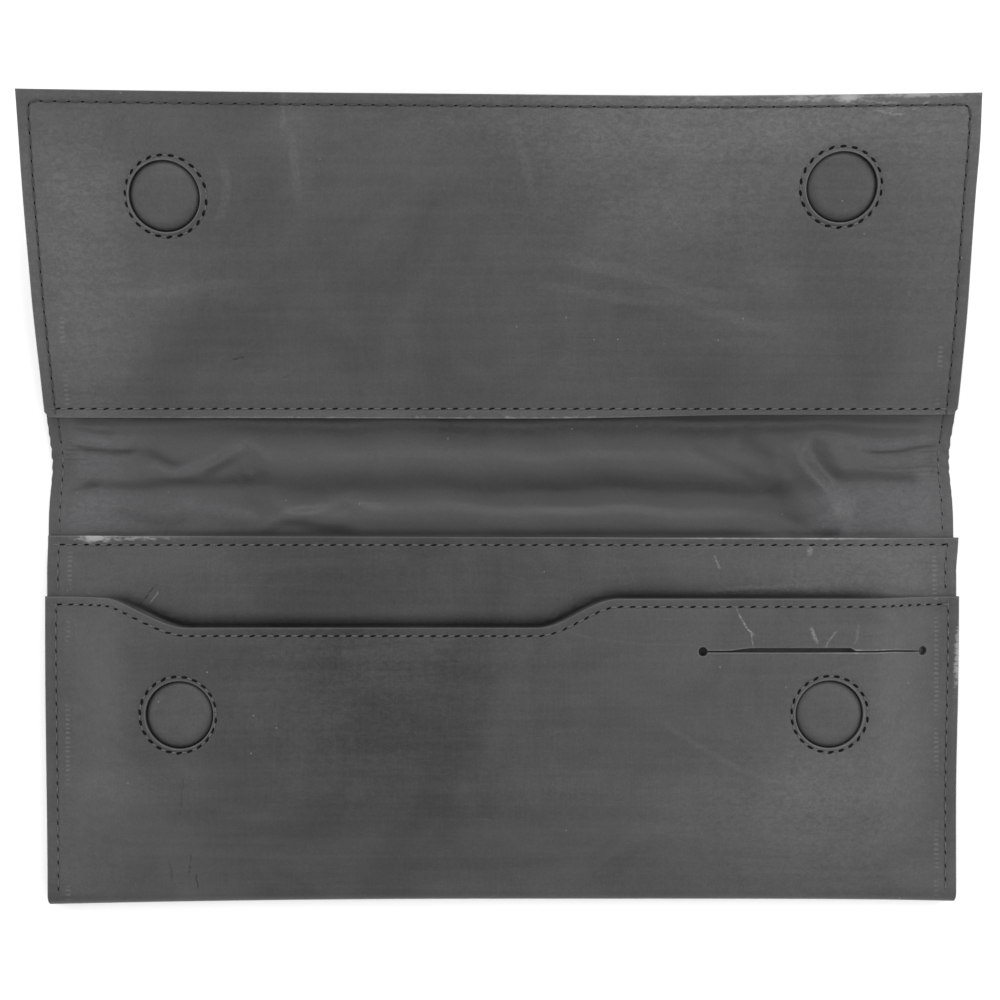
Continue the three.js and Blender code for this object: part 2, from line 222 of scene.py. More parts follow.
def backOf(s):
    # where a height s on the back lies along the hide
    r = pouch["foldRadius"]
    return 2 * r - math.pi * r - s


def liningFace(p):
    x, s = p[:, 0], p[:, 1]
    return onBack(x, s, liningFolds(x, s))


# The panel of the pocket behind: its lip, its swelling between the two mouths, the front mouth's press on it,
# and how far it leans to the side
pocketLie = {"lip": 0.35, "lipRun": 2.2, "swell": 1.2, "swellFrom": 64, "swellTo": 97, "swellRun": 12,
             "press": 1.4, "pressBelow": 0.5, "pressWidth": 1.3, "pressEnd": 106, "pressEndRun": 20,
             "lean": 0.05, "leanRate": 0.02, "leanFrom": 80, "rightLean": [(0.9, 86, 9)], "rightBack": 0.35,
             "uneven": 0.12}


def pocketPanelFace(p):
    x, y = p[:, 0], p[:, 1]
    c = pocketLie
    lift = c["lip"] * smooth((y - pouch["pocketMouth"] + c["lipRun"]) / c["lipRun"])
    swollen = smooth((y - c["swellFrom"]) / c["swellRun"]) * smooth((c["swellTo"] - y) / c["swellRun"])
    lift += c["swell"] * swollen
    pressed = bell((y - mouthEdge(x) + c["pressBelow"]) / c["pressWidth"])
    lift -= c["press"] * pressed * smooth((c["pressEnd"] - np.abs(x)) / c["pressEndRun"])
    lean = c["lean"] + c["leanRate"] * np.maximum(y - c["leanFrom"], -10)
    lean += smooth(x / 60 + 0.5) * (steps(c["rightLean"], y) - c["rightBack"])
    lift += c["uneven"] * unevenness(x, y, 3)
    return onPocket(x, y, layerRise("pocketPanel", x, y) + lift, lean)


# The front pocket's lining is glued up under the hide along the mouth
glue = {"thickness": 0.12, "reach": 8}


def frontLiningFace(p):
    x, y = p[:, 0], p[:, 1]
    under = layerRise("front", x, y) + frontUnevenness(x, y)
    under = under - leather["hide"]["thickness"] - glue["thickness"]
    glued = smooth(1.1 - (mouthEdge(x) - y) / glue["reach"])
    return onPocket(x, y, layerRise("frontLining", x, y) * (1 - glued) + under * glued)


def cardSheetFace(p):
    x, y = p[:, 0], p[:, 1]
    return onPocket(x, y, layerRise("cardSheet", x, y))


# The flap's panel: its height over the hinges' line, and its hem that stands up off the lining
panelLie = {"rise": 1.5, "hemLift": 0.85, "hemRun": 3.2, "hemEndRun": 8, "uneven": 0.12}


def flapPanelFace(p):
    x, y = p[:, 0], p[:, 1]
    c = panelLie
    lift = c["hemLift"] * (1 - smooth((y - hemEdge(x)) / c["hemRun"]))
    lift *= smooth((halfWidth - np.abs(x)) / c["hemEndRun"])
    return onBack(x, secondCrease + y, c["rise"] + lift + c["uneven"] * unevenness(x, y, 7))


# Folds of the supple lining over the spine: from, to, width and slope. A slope over zero faces the pockets
liningBands = [
    (-80, 118.2, 68, 117.4, 2.6, -0.3),
    (-60, 110.4, 5, 109.8, 2.8, 0.3),
    (5, 109.8, 82, 109.0, 3.2, 0.36),
    (-62, 102.9, 2, 103.2, 2.6, -0.24),
    (2, 103.2, 66, 102.4, 2.8, -0.27),
    (-84, 125.4, 106, 125.2, 2.3, 0.42),
    (-18, 124.6, -4, 122.4, 1.6, 0.26),
    (65, 122.5, 74, 116.5, 2.0, 0.26),
    (-113, 119.9, -97, 119.1, 0.8, 0.62),
    (-112, 122.8, -98, 121.6, 1.2, -0.28),
    (-95, 119.4, -86, 114.6, 1.4, 0.46),
    (-93, 115.8, -85, 112.4, 1.1, -0.36),
    (-84.7, 113.0, -66.5, 120.8, 1.4, -0.42),
    (-78, 112.6, -69.2, 118.6, 1.3, 0.34),
    (-116, 107.6, -108, 109.9, 0.9, 0.36),
    (-114, 110.2, -62, 110.4, 1.7, 0.44),
    (-68.4, 119.8, -63.4, 112.0, 1.4, 0.3),
    (-67.5, 114.5, -62.3, 100.6, 2.4, 0.26),
    (-86, 104.6, -63, 101.2, 1.6, -0.26),
    (-62.7, 100.1, -40.2, 106.8, 1.1, -0.34),
    (-40.8, 106.8, -31, 103.2, 1.1, -0.26),
    (-60, 101.0, -40, 99.0, 1.8, 0.22),
    (-104, 103.5, -84, 99.5, 2.2, 0.2),
    (-85.1, 104, -84.6, 98, 0.4, 0.2),
    (-114, 125.6, -103, 123.8, 0.9, 0.3),
    (82.4, 122.6, 94, 121.1, 0.9, -0.34),
    (93, 121.1, 116, 122.3, 0.8, -0.3),
    (80.6, 120.3, 88.3, 106.4, 2.4, -0.32),
    (88.3, 106.8, 90.8, 97.0, 2.8, -0.24),
    (82.8, 121.0, 90.4, 112.2, 2.0, 0.36),
    (89.4, 111.6, 112, 112.8, 1.9, 0.4),
    (98, 118.7, 116, 120.6, 0.6, 0.6),
    (100, 114.8, 116, 115.4, 0.45, 0.3),
    (71, 108.4, 81.5, 99.0, 3.2, 0.3),
    (69.7, 102.4, 80.6, 97.5, 0.9, -0.24),
    (52, 120.5, 68, 112.5, 1.4, 0.18),
]
spineRidge = {"from": (79, 121), "to": (90, 99), "width": 3.4, "height": 0.9}
# The lining's height between its seams, how soon it gets there, and the puckers that the seams draw
liningLie = {"loft": 0.85, "uneven": 0.12, "underMouth": 0.3, "steepness": 1.2, "sideRun": 7, "creaseRun": 4,
             "start": 90, "startRun": 5, "pucker": 0.3, "puckerAt": 117, "puckerRun": 6, "puckerReach": 7.5,
             "spread": 1.41}  # of a fold's slope past its width


def alongLine(x, y, x0, y0, x1, y1):
    # distance to the upper side of a line, and a fade at both its ends
    run = math.hypot(x1 - x0, y1 - y0)
    along = ((x - x0) * (x1 - x0) + (y - y0) * (y1 - y0)) / run
    across = ((y - y0) * (x1 - x0) - (x - x0) * (y1 - y0)) / run
    fade = max(1.5, 0.28 * run)
    return across, smooth(along / fade + 0.5) * smooth((run - along) / fade + 0.5)


def wander(x, s):
    # the folds aren't straight
    return x + 0.9 * np.sin(s / 2.9 + x / 15), s + 0.5 * np.sin(x / 8.3 + 1) + 0.3 * np.sin(x / 3.7 + s / 5)


def bandsAt(x, s):
    # the distance to each fold, and its slope there
    for x0, s0, x1, s1, width, slope in liningBands:
        across, ends = alongLine(*wander(x, s), x0, s0, x1, s1)
        yield across, slope * bell(across / (liningLie["spread"] * width)) * ends


def foldShade(p):
    # painted shade: the sides of the folds that face the pockets, away from the top softbox, are darkened
    x, s = p[:, 0], p[:, 1]
    return -sum(slope for across, slope in bandsAt(x, s)) * smooth((s - 92) / 5)


def liningFolds(x, s):
    c = liningLie
    held = smooth((sideSeamX - 0.8 - np.abs(x)) / c["sideRun"])
    held = held * smooth((secondCrease + 1 - s) / c["creaseRun"]) * smooth((s - c["start"]) / c["startRun"])
    loft = c["loft"] + c["uneven"] * unevenness(x, s * 3, 5)
    loft = loft - c["underMouth"] * bell((s - pouch["pocketMouth"] - 0.3) / 0.6)
    for across, slope in bandsAt(x, s):
        loft = loft + c["steepness"] * slope * across
    across, ends = alongLine(*wander(x, s), *spineRidge["from"], *spineRidge["to"])
    loft = loft + spineRidge["height"] * bell(across / spineRidge["width"]) * ends
    fromSeam = np.abs(sideSeamX - np.abs(x))
    pucker = np.sin(s * 5.6 + 1.5 * np.sin(s * 0.9 + x * 0.07)) * bell((s - c["puckerAt"]) / c["puckerRun"])
    pucker = pucker * np.exp(-fromSeam / c["puckerReach"]) * smooth((fromSeam - 0.3) / 1.2)
    return np.maximum(held * loft, -0.1) + c["pucker"] * pucker * (s < secondCrease + 2)


# The front pocket dips at its mouth. Its bulges: from, to, width and height
frontLie = {"uneven": 0.14, "footFrom": 4, "footRun": 12, "mouthDip": 1.6, "mouthRun": 10, "sideRun": 20,
            "bulges": [(-104, 60, -100, 30, 3.0, 0.12), (60, 66, 96, 61, 3.5, 0.12)]}


def frontUnevenness(x, y):
    c = frontLie
    rise = c["uneven"] * unevenness(x, y, 1) * smooth((y - c["footFrom"]) / c["footRun"])
    atMouth = smooth(1 - (mouthEdge(x) - y) / c["mouthRun"]) * smooth((halfWidth - np.abs(x)) / c["sideRun"])
    rise = rise - c["mouthDip"] * atMouth
    for x0, y0, x1, y1, width, height in c["bulges"]:
        across, ends = alongLine(x, y, x0, y0, x1, y1)
        rise = rise + height * bell(across / width) * ends
    return rise


# Windows for the covered magnets. Each is sewn a little off its magnet's true place
closures = {
    "front": {"window": 8.65, "seam": 9.75, "left": (0.1, -0.6), "right": (-1.05, -0.4)},
    "flap": {"window": 8.95, "seam": 10.2, "left": (-0.9, -1.35), "right": (1.0, 1.4)},
}
windowAside = {"front left": 0.4, "front right": -0.1, "flap left": -0.38, "flap right": 0.25}


def middleOf(node):
    low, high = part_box(node)
    return (low + high) / 2


def closurePlaces():
    places = []
    for part in ("front", "flap"):
        for side in ("left", "right"):
            dx, dy = closures[part][side]
            at = middleOf(f"magnet_{part}_{side}")
            fromFold = (at.y - bottomFold) / mm
            if part == "flap":
                at -= hinges["flap_fold"]
                fromFold = math.hypot(at.y, at.z) / mm
            places.append((part, side, at.x / mm + dx, fromFold + dy))
    return places


cardSlot = {"middle": 80.7, "length": 58.7, "width": 0.36, "drop": 13.5, "punch": 1.15, "gape": 0.75,
            "sag": 0.6}


def circle(x, y, radius, step=0.5):
    # clockwise, as a hole is drawn
    count = max(24, round(2 * math.pi * radius / step))
    turn = -np.arange(count) / count * 2 * math.pi
    return np.stack([x + radius * np.cos(turn), y + radius * np.sin(turn)], -1)


def polyline(corners, step=1.0):
    points = []
    for a, b in zip(corners, corners[1:]):
        a, b = np.array(a, float), np.array(b, float)
        count = max(1, round(np.linalg.norm(b - a) / step))
        points += [a + (b - a) * i / count for i in range(count)]
    return np.array([*points, corners[-1]], float)


def slotOutline():
    # a slit that gapes in its middle, with a punched hole at each end, drawn clockwise
    y = pouch["frontMouth"] - cardSlot["drop"]
    half = cardSlot["length"] / 2
    reach = half - cardSlot["punch"] * 0.97
    xs = np.linspace(-reach, reach, 80)
    gape = cardSlot["width"] / 2 + cardSlot["gape"] * smooth((xs + 24) / 8) * smooth((9.8 - xs) / 1.5)
    sag = cardSlot["sag"] * smooth((xs - 18) / (reach - 18))
    upper = np.stack([cardSlot["middle"] + xs, y + gape - sag], -1)
    lower = np.stack([cardSlot["middle"] + xs, y - cardSlot["width"] / 2 - sag], -1)[::-1]
    start = math.asin(cardSlot["width"] / 2 / cardSlot["punch"])
    turn = np.linspace(math.pi - start, start - math.pi, 20)[1:-1]
    right = np.stack([np.cos(turn), np.sin(turn)], -1) * cardSlot["punch"]
    return np.concatenate([
        upper,
        right + (cardSlot["middle"] + half, y - cardSlot["sag"]),
        lower,
        -right + (cardSlot["middle"] - half, y),
    ])


def nearest(points, paths, closed):
    # distance to the nearest path
    starts, ends = [], []
    for path in paths:
        path = np.asarray(path, float)
        if closed:
            path = np.vstack([path, path[:1]])
        starts.append(path[:-1])
        ends.append(path[1:])
    starts, ends = np.concatenate(starts), np.concatenate(ends)
    step = ends - starts
    length = np.maximum(np.linalg.norm(step, axis=1), 1e-9)
    distances = []
    for part in np.array_split(points, max(1, len(points) * len(starts) // 1500000)):
        offset = part[:, None] - starts[None]
        t = np.clip((offset * step).sum(-1) / length**2, 0, 1)
        distances.append(np.linalg.norm(offset - t[..., None] * step, axis=-1).min(1))
    return np.concatenate(distances)


def inside(points, loops):
    # an odd number of crossings to the left of a point
    crossings = np.zeros(len(points), int)
    for loop in loops:
        for (ax, ay), (bx, by) in zip(loop, np.roll(loop, -1, 0)):
            if ay == by:
                continue
            spans = (points[:, 1] < ay) != (points[:, 1] < by)
            crossings += spans & (points[:, 0] > ax + (points[:, 1] - ay) * (bx - ax) / (by - ay))
    return crossings % 2 == 1


def gridPoints(low, high, dx, dy):
    grid = np.stack(np.meshgrid(np.arange(low[0], high[0], dx), np.arange(low[1], high[1], dy)), -1)
    grid[1::2, :, 0] += dx / 2
    return grid.reshape(-1, 2)


def sideways(path):
    # unit vectors to the left of a path
    along = np.gradient(path, axis=0)
    return np.stack([-along[:, 1], along[:, 0]], -1) / np.linalg.norm(along, axis=1)[:, None]


# Rows of closer points beside the edges and seams of a cut, and how close two points and two rows may come
closeRows = {"besideEdge": (0.14, 0.34, 0.62, 1.0, 1.5), "besideSeam": (0, -0.4, 0.4, -0.9, 0.9),
             "leastAtEdge": 0.12, "leastAtSeam": 0.28, "leastInGrid": 0.3,
             "seamFromEdge": 0.3, "gridFromEdge": 1.7, "gridFromSeam": 1.2}


def cutLeather(edge, holes, seams, grids, splits):
    # a flat cut of leather as triangles
    loops = [edge, *holes]
    kept, edges, taken = [], [], set()

    def keep(points, least):
        for x, y in points:
            cell = (round(x / least), round(y / least), least)
            if cell not in taken:
                taken.add(cell)
                kept.append((x, y))

    for loop in loops:
        start = len(kept)
        edges += [(start + i, start + (i + 1) % len(loop)) for i in range(len(loop))]
        kept += [tuple(p) for p in loop]
    for split in splits:
        start = len(kept)
        edges += [(start + i, start + i + 1) for i in range(len(split) - 1)]
        kept += [tuple(p) for p in split]
    for loop in loops:
        along = np.roll(loop, -1, 0) - np.roll(loop, 1, 0)
        inward = np.stack([-along[:, 1], along[:, 0]], -1) / np.linalg.norm(along, axis=1)[:, None]
        for offset in closeRows["besideEdge"]:
            points = loop + inward * offset
            away = nearest(points, loops, True)
            keep(points[(away > 0.9 * offset) & inside(points, loops)], closeRows["leastAtEdge"])
    for seam in seams:
        for offset in closeRows["besideSeam"]:
            points = seam + sideways(seam) * offset
            away = nearest(points, loops, True)
            keep(points[(away > closeRows["seamFromEdge"]) & inside(points, loops)], closeRows["leastAtSeam"])
    for low, high, dx, dy in grids:
        grid = gridPoints(low, high, dx, dy)
        grid = grid[inside(grid, loops)]
        grid = grid[nearest(grid, loops, True) > closeRows["gridFromEdge"]]
        if seams:
            grid = grid[nearest(grid, seams, False) > closeRows["gridFromSeam"]]
        keep(grid, closeRows["leastInGrid"])
    found = delaunay_2d_cdt([Vector(p) for p in kept], edges, [], 0, 1e-5)
    points = np.array([tuple(p) for p in found[0]], float)
    triangles = np.array([f for f in found[2] if len(f) == 3], int)
    a, b, c = (points[triangles[:, i]] for i in range(3))
    turn = (b - a)[:, 0] * (c - a)[:, 1] - (b - a)[:, 1] * (c - a)[:, 0]
    triangles[turn < 0] = triangles[turn < 0][:, ::-1]
    middles = points[triangles].mean(1)
    return points, triangles[inside(middles, loops) & (np.abs(turn) > 1e-9)]


def normalsOf(shape, points):
    step = 0.05
    across = shape(points + (step, 0)) - shape(points - (step, 0))
    up = shape(points + (0, step)) - shape(points - (0, step))
    normal = np.cross(across, up)
    return normal / np.linalg.norm(normal, axis=1)[:, None]


def unit(vectors):
    return vectors / np.maximum(np.linalg.norm(vectors, axis=-1), 1e-12)[..., None]


def averaged(count, faces, normals):
    total = np.zeros((count, 3))
    for corner in faces.T:
        np.add.at(total, corner, normals)
    return unit(total)


def faceNormals(verts, faces):
    return np.cross(verts[faces[:, 1]] - verts[faces[:, 0]], verts[faces[:, 2]] - verts[faces[:, 0]])


def newObject(name, data):
    made = bpy.data.objects.new(name, data)
    bpy.context.scene.collection.objects.link(made)
    return made


def addPiece(name, mesh, material):
    piece = newObject(name, mesh)
    mesh.materials.append(material)
    return piece


def storeValues(mesh, **values):
    for name, numbers in values.items():
        mesh.attributes.new(name, "FLOAT", "POINT").data.foreach_set("value", np.asarray(numbers, np.float32))


def soft(points, spots):
    # soft patches: x, y, half sizes and strength
    total = np.zeros(len(points))
    for x, y, wide, high, strength in spots:
        total += strength * bell((points[:, 0] - x) / wide) * bell((points[:, 1] - y) / high)
    return np.clip(total, -1, 1.5)


def leatherPieces(names, cut, shape, material, rim, holes=(), windows=(), seams=(), splitAt=None,
                  creases=(), waxed=None):
    # layers cut from leather, with rounded edges, sunken seams and a wall all round
    low, high = rim.min(0), rim.max(0)
    grids = [((low[0], max(low[1], a)), (high[0], min(high[1], b)), dx, dy) for a, b, dx, dy in cut["rows"]]
    grids += cut.get("close", [])
    splits = [] if splitAt is None else [polyline([(low[0], splitAt), (high[0], splitAt)], 1.0)[1:-1]]
    points, triangles = cutLeather(rim, [*holes, *windows], [*seams, *creases], grids, splits)
    edge = nearest(points, [rim, *holes, *windows], True)
    curve = cut["edgeRound"]
    sink = curve - np.sqrt(np.maximum(curve**2 - np.maximum(curve - edge, 0) ** 2, 0))
    seam = np.full(len(points), 20.0)
    if len(seams):
        seam = nearest(points, seams, False)
        sink = sink + cut["seamDip"] * (0.8 * bell(seam / 0.7) - 0.4 * bell((seam - 1.4) / 0.6))
    worn = soft(points, cut.get("rubbed", ()))
    # patches partly of the leather's own tone and partly of painted light and shade, plus the painted shade
    # on the lining's folds that waxed gives
    toneAndLightPatches = soft(points, cut.get("haze", ())) + (waxed(points) if waxed else 0)
    if len(windows):
        # the leather stands up a little round a window, and is worn there
        fromWindow = nearest(points, windows, True)
        sink = sink - 0.13 * bell((fromWindow - 0.42) / 0.3)
        worn = np.maximum(worn, 0.25 * bell((fromWindow - 0.3) / 0.25))
    normal = normalsOf(shape, points)
    face = shape(points)
    top = face - normal * sink[:, None]
    under = face - normal * (cut["thickness"] - 0.3 * np.minimum(sink, 0.3))[:, None]
    count = len(points)
    topNormals = averaged(count, triangles, faceNormals(top, triangles))
    underNormals = averaged(count, triangles, -faceNormals(under, triangles))
    middles = points[triangles].mean(1)[:, 1]
    pieces = []
    shares = [slice(None)] if splitAt is None else [middles < splitAt, middles >= splitAt]
    for name, mine in zip(names, shares):
        flat = triangles[mine]
        used = np.unique(flat)
        renumber = np.zeros(count, int)
        renumber[used] = np.arange(len(used))
        flat = renumber[flat]
        n = len(used)
        sides = np.concatenate([flat[:, [0, 1]], flat[:, [1, 2]], flat[:, [2, 0]]])
        sides = {tuple(side) for side in sides.tolist()}
        a, b = np.array(sorted(s for s in sides if s[::-1] not in sides)).T
        walls = np.stack([a, a + n, b + n, b], -1)
        verts = np.concatenate([top[used], under[used]])
        wallNormals = unit(faceNormals(verts, walls))
        around = averaged(2 * n, walls, wallNormals)[walls]
        gentle = (around * wallNormals[:, None]).sum(-1, keepdims=True) > 0.8
        corners = np.concatenate([
            topNormals[used][flat].reshape(-1, 3),
            underNormals[used][flat[:, ::-1]].reshape(-1, 3),
            np.where(gentle, around, wallNormals[:, None]).reshape(-1, 3),
        ])
        mesh = bpy.data.meshes.new(name)
        faces = [*flat.tolist(), *(flat[:, ::-1] + n).tolist(), *walls.tolist()]
        mesh.from_pydata(inRow(verts).tolist(), [], faces)
        twice = np.concatenate([used, used])
        storeValues(mesh, edge=np.minimum(edge, 20)[twice], seam=seam[twice], rubbed=worn[twice],
                    haze=toneAndLightPatches[twice])
        mesh.normals_split_custom_set(corners.tolist())
        pieces.append(addPiece(name, mesh, material))
        print(f"{name}: {len(mesh.polygons)} faces")
    return pieces


# Shader parts
def add(tree, kind, inputs=None, **settings):
    node = tree.nodes.new(kind)
    for name, value in settings.items():
        setattr(node, name, value)
    for name, value in (inputs or {}).items():
        if isinstance(value, bpy.types.NodeSocket):
            tree.links.new(value, node.inputs[name])
        else:
            node.inputs[name].default_value = value
    return node


def calc(tree, operation, a, b=0.0, clamp=False):
    return add(tree, "ShaderNodeMath", {0: a, 1: b}, operation=operation, use_clamp=clamp).outputs[0]


def plus(tree, a, b, clamp=False):
    return calc(tree, "ADD", a, b, clamp)


def minus(tree, a, b):
    return calc(tree, "SUBTRACT", a, b)


def times(tree, a, b, clamp=False):
    return calc(tree, "MULTIPLY", a, b, clamp)


def remap(tree, value, low, high, toLow=0.0, toHigh=1.0):
    names = {"Value": value, "From Min": low, "From Max": high, "To Min": toLow, "To Max": toHigh}
    return add(tree, "ShaderNodeMapRange", names, interpolation_type="SMOOTHSTEP").outputs[0]


def varied(tree, cloud, middle, spread):
    # a value that varies about its middle as a noise does, most of which lies from 0.3 to 0.7
    return remap(tree, cloud, 0.3, 0.7, middle - spread, middle + spread)


def noise(tree, vector, scale, detail=2.0, roughness=0.5, distortion=0.0):
    names = {"Vector": vector, "Scale": scale, "Detail": detail, "Roughness": roughness}
    return add(tree, "ShaderNodeTexNoise", {**names, "Distortion": distortion}).outputs[0]


def stretched(tree, vector, scale, turn=0.0):
    way = {"Vector": vector, "Scale": scale, "Rotation": (0, 0, turn)}
    return add(tree, "ShaderNodeMapping", way).outputs[0]


def mixColour(tree, share, a, b, kind="MIX"):
    node = tree.nodes.new("ShaderNodeMix")
    node.data_type = "RGBA"
    node.blend_type = kind
    for index, value in ((0, share), (6, a), (7, b)):
        if isinstance(value, bpy.types.NodeSocket):
            tree.links.new(value, node.inputs[index])
        else:
            node.inputs[index].default_value = value
    return node.outputs[2]


def shaderGroup(name, inputs, outputs):
    # a group whose inputs without a value are vectors
    tree = bpy.data.node_groups.new(name, "ShaderNodeTree")
    for socket, value in inputs.items():
        kind = "NodeSocketVector" if value is None else "NodeSocketFloat"
        made = tree.interface.new_socket(socket, in_out="INPUT", socket_type=kind)
        if value is not None:
            made.default_value = value
    for socket in outputs:
        tree.interface.new_socket(socket, in_out="OUTPUT", socket_type="NodeSocketFloat")
    return tree, tree.nodes.new("NodeGroupInput").outputs, tree.nodes.new("NodeGroupOutput").inputs


def useGroup(tree, group, **inputs):
    node = tree.nodes.new("ShaderNodeGroup")
    node.node_tree = group
    for name, value in inputs.items():
        socket = node.inputs[name.replace("_", " ")]
        if isinstance(value, bpy.types.NodeSocket):
            tree.links.new(value, socket)
        else:
            socket.default_value = value
    return node.outputs


def makeHideGrain():
    # pores, fine grain, rolled streaks and fibres; Vector is in millimetres
    tree, given, out = shaderGroup(
        "hideGrain",
        {"Vector": None, "Grain Size": 0.5},
        ["Grain", "Streaks", "Clouds", "Fibres", "Crackle"],
    )
    fine = calc(tree, "DIVIDE", 1.0, given["Grain Size"])
    pebble = add(tree, "ShaderNodeTexVoronoi", {"Vector": given["Vector"], "Scale": fine, "Randomness": 1.0},
                 feature="SMOOTH_F1").outputs[0]
    speckle = noise(tree, given["Vector"], times(tree, fine, 0.55), 4, 0.7)
    grain = plus(tree, times(tree, pebble, 0.5), times(tree, speckle, 0.6))
    streak = noise(tree, stretched(tree, given["Vector"], (0.018, 0.42, 0.42)), 1.0, 4, 0.6, 0.3)
    fibre = noise(tree, stretched(tree, given["Vector"], (1.5, 0.09, 0.5)), 1.0, 3, 0.6)
    cloud = noise(tree, given["Vector"], 0.03, 5, 0.62, 0.5)
    crackle = noise(tree, stretched(tree, given["Vector"], (0.5, 0.8, 0.8)), 1.0, 4, 0.65, 1.0)
    made = {"Grain": grain, "Streaks": streak, "Clouds": cloud, "Fibres": fibre, "Crackle": crackle}
    for name, value in made.items():
        tree.links.new(value, out[name])
    return tree


def makeWaxMarks():
    # white specks, hair-fine scratches and pale rubbed patches of the wax; Vector is in millimetres
    tree, given, out = shaderGroup(
        "waxMarks",
        {"Vector": None, "Rubbed": 0.0},
        ["Specks", "Scratches", "Patches"],
    )
    cells = add(tree, "ShaderNodeTexVoronoi", {"Vector": given["Vector"], "Scale": 0.16})
    split = add(tree, "ShaderNodeSeparateColor", {0: cells.outputs["Color"]}).outputs[0]
    chosen = calc(tree, "GREATER_THAN", split, 0.6)
    specks = times(tree, remap(tree, cells.outputs["Distance"], 0.05, 0.012), chosen)
    lines = None
    for turn, size, limit in ((0.5, 0.045, 0.58), (-0.9, 0.06, 0.56), (1.4, 0.035, 0.6)):
        way = stretched(tree, given["Vector"], (size * 0.35, size, size), turn)
        wave = noise(tree, way, 1.0, 1, 0.4, 1.2)
        thin = remap(tree, calc(tree, "ABSOLUTE", minus(tree, wave, 0.5)), 0.0035, 0.0008)
        gate = remap(tree, noise(tree, given["Vector"], size * 0.7, 1), limit, limit + 0.06)
        line = times(tree, thin, gate)
        lines = line if lines is None else calc(tree, "MAXIMUM", lines, line)
    grip = plus(tree, 0.25, times(tree, given["Rubbed"], 1.2))
    broken = noise(tree, stretched(tree, given["Vector"], (0.5, 1.1, 1.0)), 1.0, 5, 0.7)
    patches = plus(tree, broken, times(tree, given["Rubbed"], 0.36))
    patches = remap(tree, patches, 0.62, 0.86)
    tree.links.new(specks, out["Specks"])
    tree.links.new(times(tree, lines, grip, True), out["Scratches"])
    tree.links.new(times(tree, patches, given["Rubbed"]), out["Patches"])
    return tree


def makeEdgeWear():
    # burnished cut edge and pale worn rim, from the distance to the cut in millimetres
    tree, given, out = shaderGroup(
        "edgeWear",
        {"Vector": None, "Edge": 10.0, "Width": 0.5},
        ["Rim", "Cut"],
    )
    ragged = noise(tree, given["Vector"], 0.5, 3, 0.6)
    width = times(tree, given["Width"], plus(tree, 0.4, ragged))
    tree.links.new(remap(tree, calc(tree, "DIVIDE", given["Edge"], width), 1.0, 0.35), out["Rim"])
    tree.links.new(remap(tree, given["Edge"], 0.12, 0.02), out["Cut"])
    return tree


def makeHandMark():
    # one bent scratch or crack through Middle, broken up along its way; Vector is in millimetres
    tree, given, out = shaderGroup(
        "handMark",
        {"Vector": None, "Middle": None, "Turn": 0.0, "Reach": 5.0, "Width": 0.3, "Bend": 0.0},
        ["Mark"],
    )
    moved = add(tree, "ShaderNodeVectorMath", {0: given["Vector"], 1: given["Middle"]},
                operation="SUBTRACT").outputs[0]
    turned = add(tree, "ShaderNodeVectorRotate", {"Vector": moved, "Angle": given["Turn"]},
                 rotation_type="Z_AXIS").outputs[0]
    parts = add(tree, "ShaderNodeSeparateXYZ", {0: turned}).outputs
    wander = minus(tree, noise(tree, given["Vector"], 0.6, 2), 0.5)
    arch = times(tree, times(tree, parts[0], parts[0]), given["Bend"])
    off = plus(tree, minus(tree, parts[1], arch), times(tree, wander, 1.2))
    near = remap(tree, calc(tree, "DIVIDE", calc(tree, "ABSOLUTE", off), given["Width"]), 1.0, 0.3)
    ends = remap(tree, calc(tree, "DIVIDE", calc(tree, "ABSOLUTE", parts[0]), given["Reach"]), 1.0, 0.5)
    broken = remap(tree, noise(tree, given["Vector"], 1.4, 3, 0.6), 0.35, 0.6, 0.25, 1.0)
    tree.links.new(times(tree, times(tree, near, ends), broken), out["Mark"])
    return tree


def makeFeedMarks():
    # the fine ladder that the sewing machine's feed pressed beside the side seams; Vector is in millimetres
    tree, given, out = shaderGroup(
        "feedMarks",
        {"Vector": None, "From Middle": 114.3, "Pitch": 1.22},
        ["Ladder"],
    )
    parts = add(tree, "ShaderNodeSeparateXYZ", {0: given["Vector"]}).outputs
    off = minus(tree, calc(tree, "ABSOLUTE", parts[0]), given["From Middle"])
    off = calc(tree, "ABSOLUTE", off)
    uneven = plus(tree, parts[1], noise(tree, given["Vector"], 0.3, 2))
    turns = calc(tree, "DIVIDE", times(tree, uneven, 2 * math.pi), given["Pitch"])
    rungs = remap(tree, calc(tree, "SINE", turns), -0.4, 1.0)
    gate = remap(tree, noise(tree, given["Vector"], 0.09, 2), 0.46, 0.58)
    gate = times(tree, gate, remap(tree, parts[1], 64, 54))
    inBand = times(tree, remap(tree, off, 0.75, 0.45), gate)
    tree.links.new(times(tree, rungs, inBand), out["Ladder"])
    return tree


hideGrain, waxMarks, edgeWear = makeHideGrain(), makeWaxMarks(), makeEdgeWear()
handMark, feedMarks = makeHandMark(), makeFeedMarks()
tones = {
    "hide": (0.042, 0.042, 0.0425, 1),
    "worn": (0.27, 0.27, 0.27, 1),
    "cut": (0.026, 0.026, 0.027, 1),
    "lining": (0.039, 0.039, 0.0405, 1),
    "thread": (0.06, 0.06, 0.061, 1),
    "darkThread": (0.02, 0.02, 0.0205, 1),
    # the near-black hole tones are painted shade inside the stitch holes; cracks and the burnished cut edge
    # are mixed towards the first too
    "hole": (0.006, 0.006, 0.006, 1),
    "faintHoleShade": (0.014, 0.014, 0.014, 1),
    "backing": (0.08, 0.08, 0.082, 1),
    "magnet": (0.62, 0.62, 0.64, 1),
    "table": (0.95, 0.95, 0.95, 1),
}


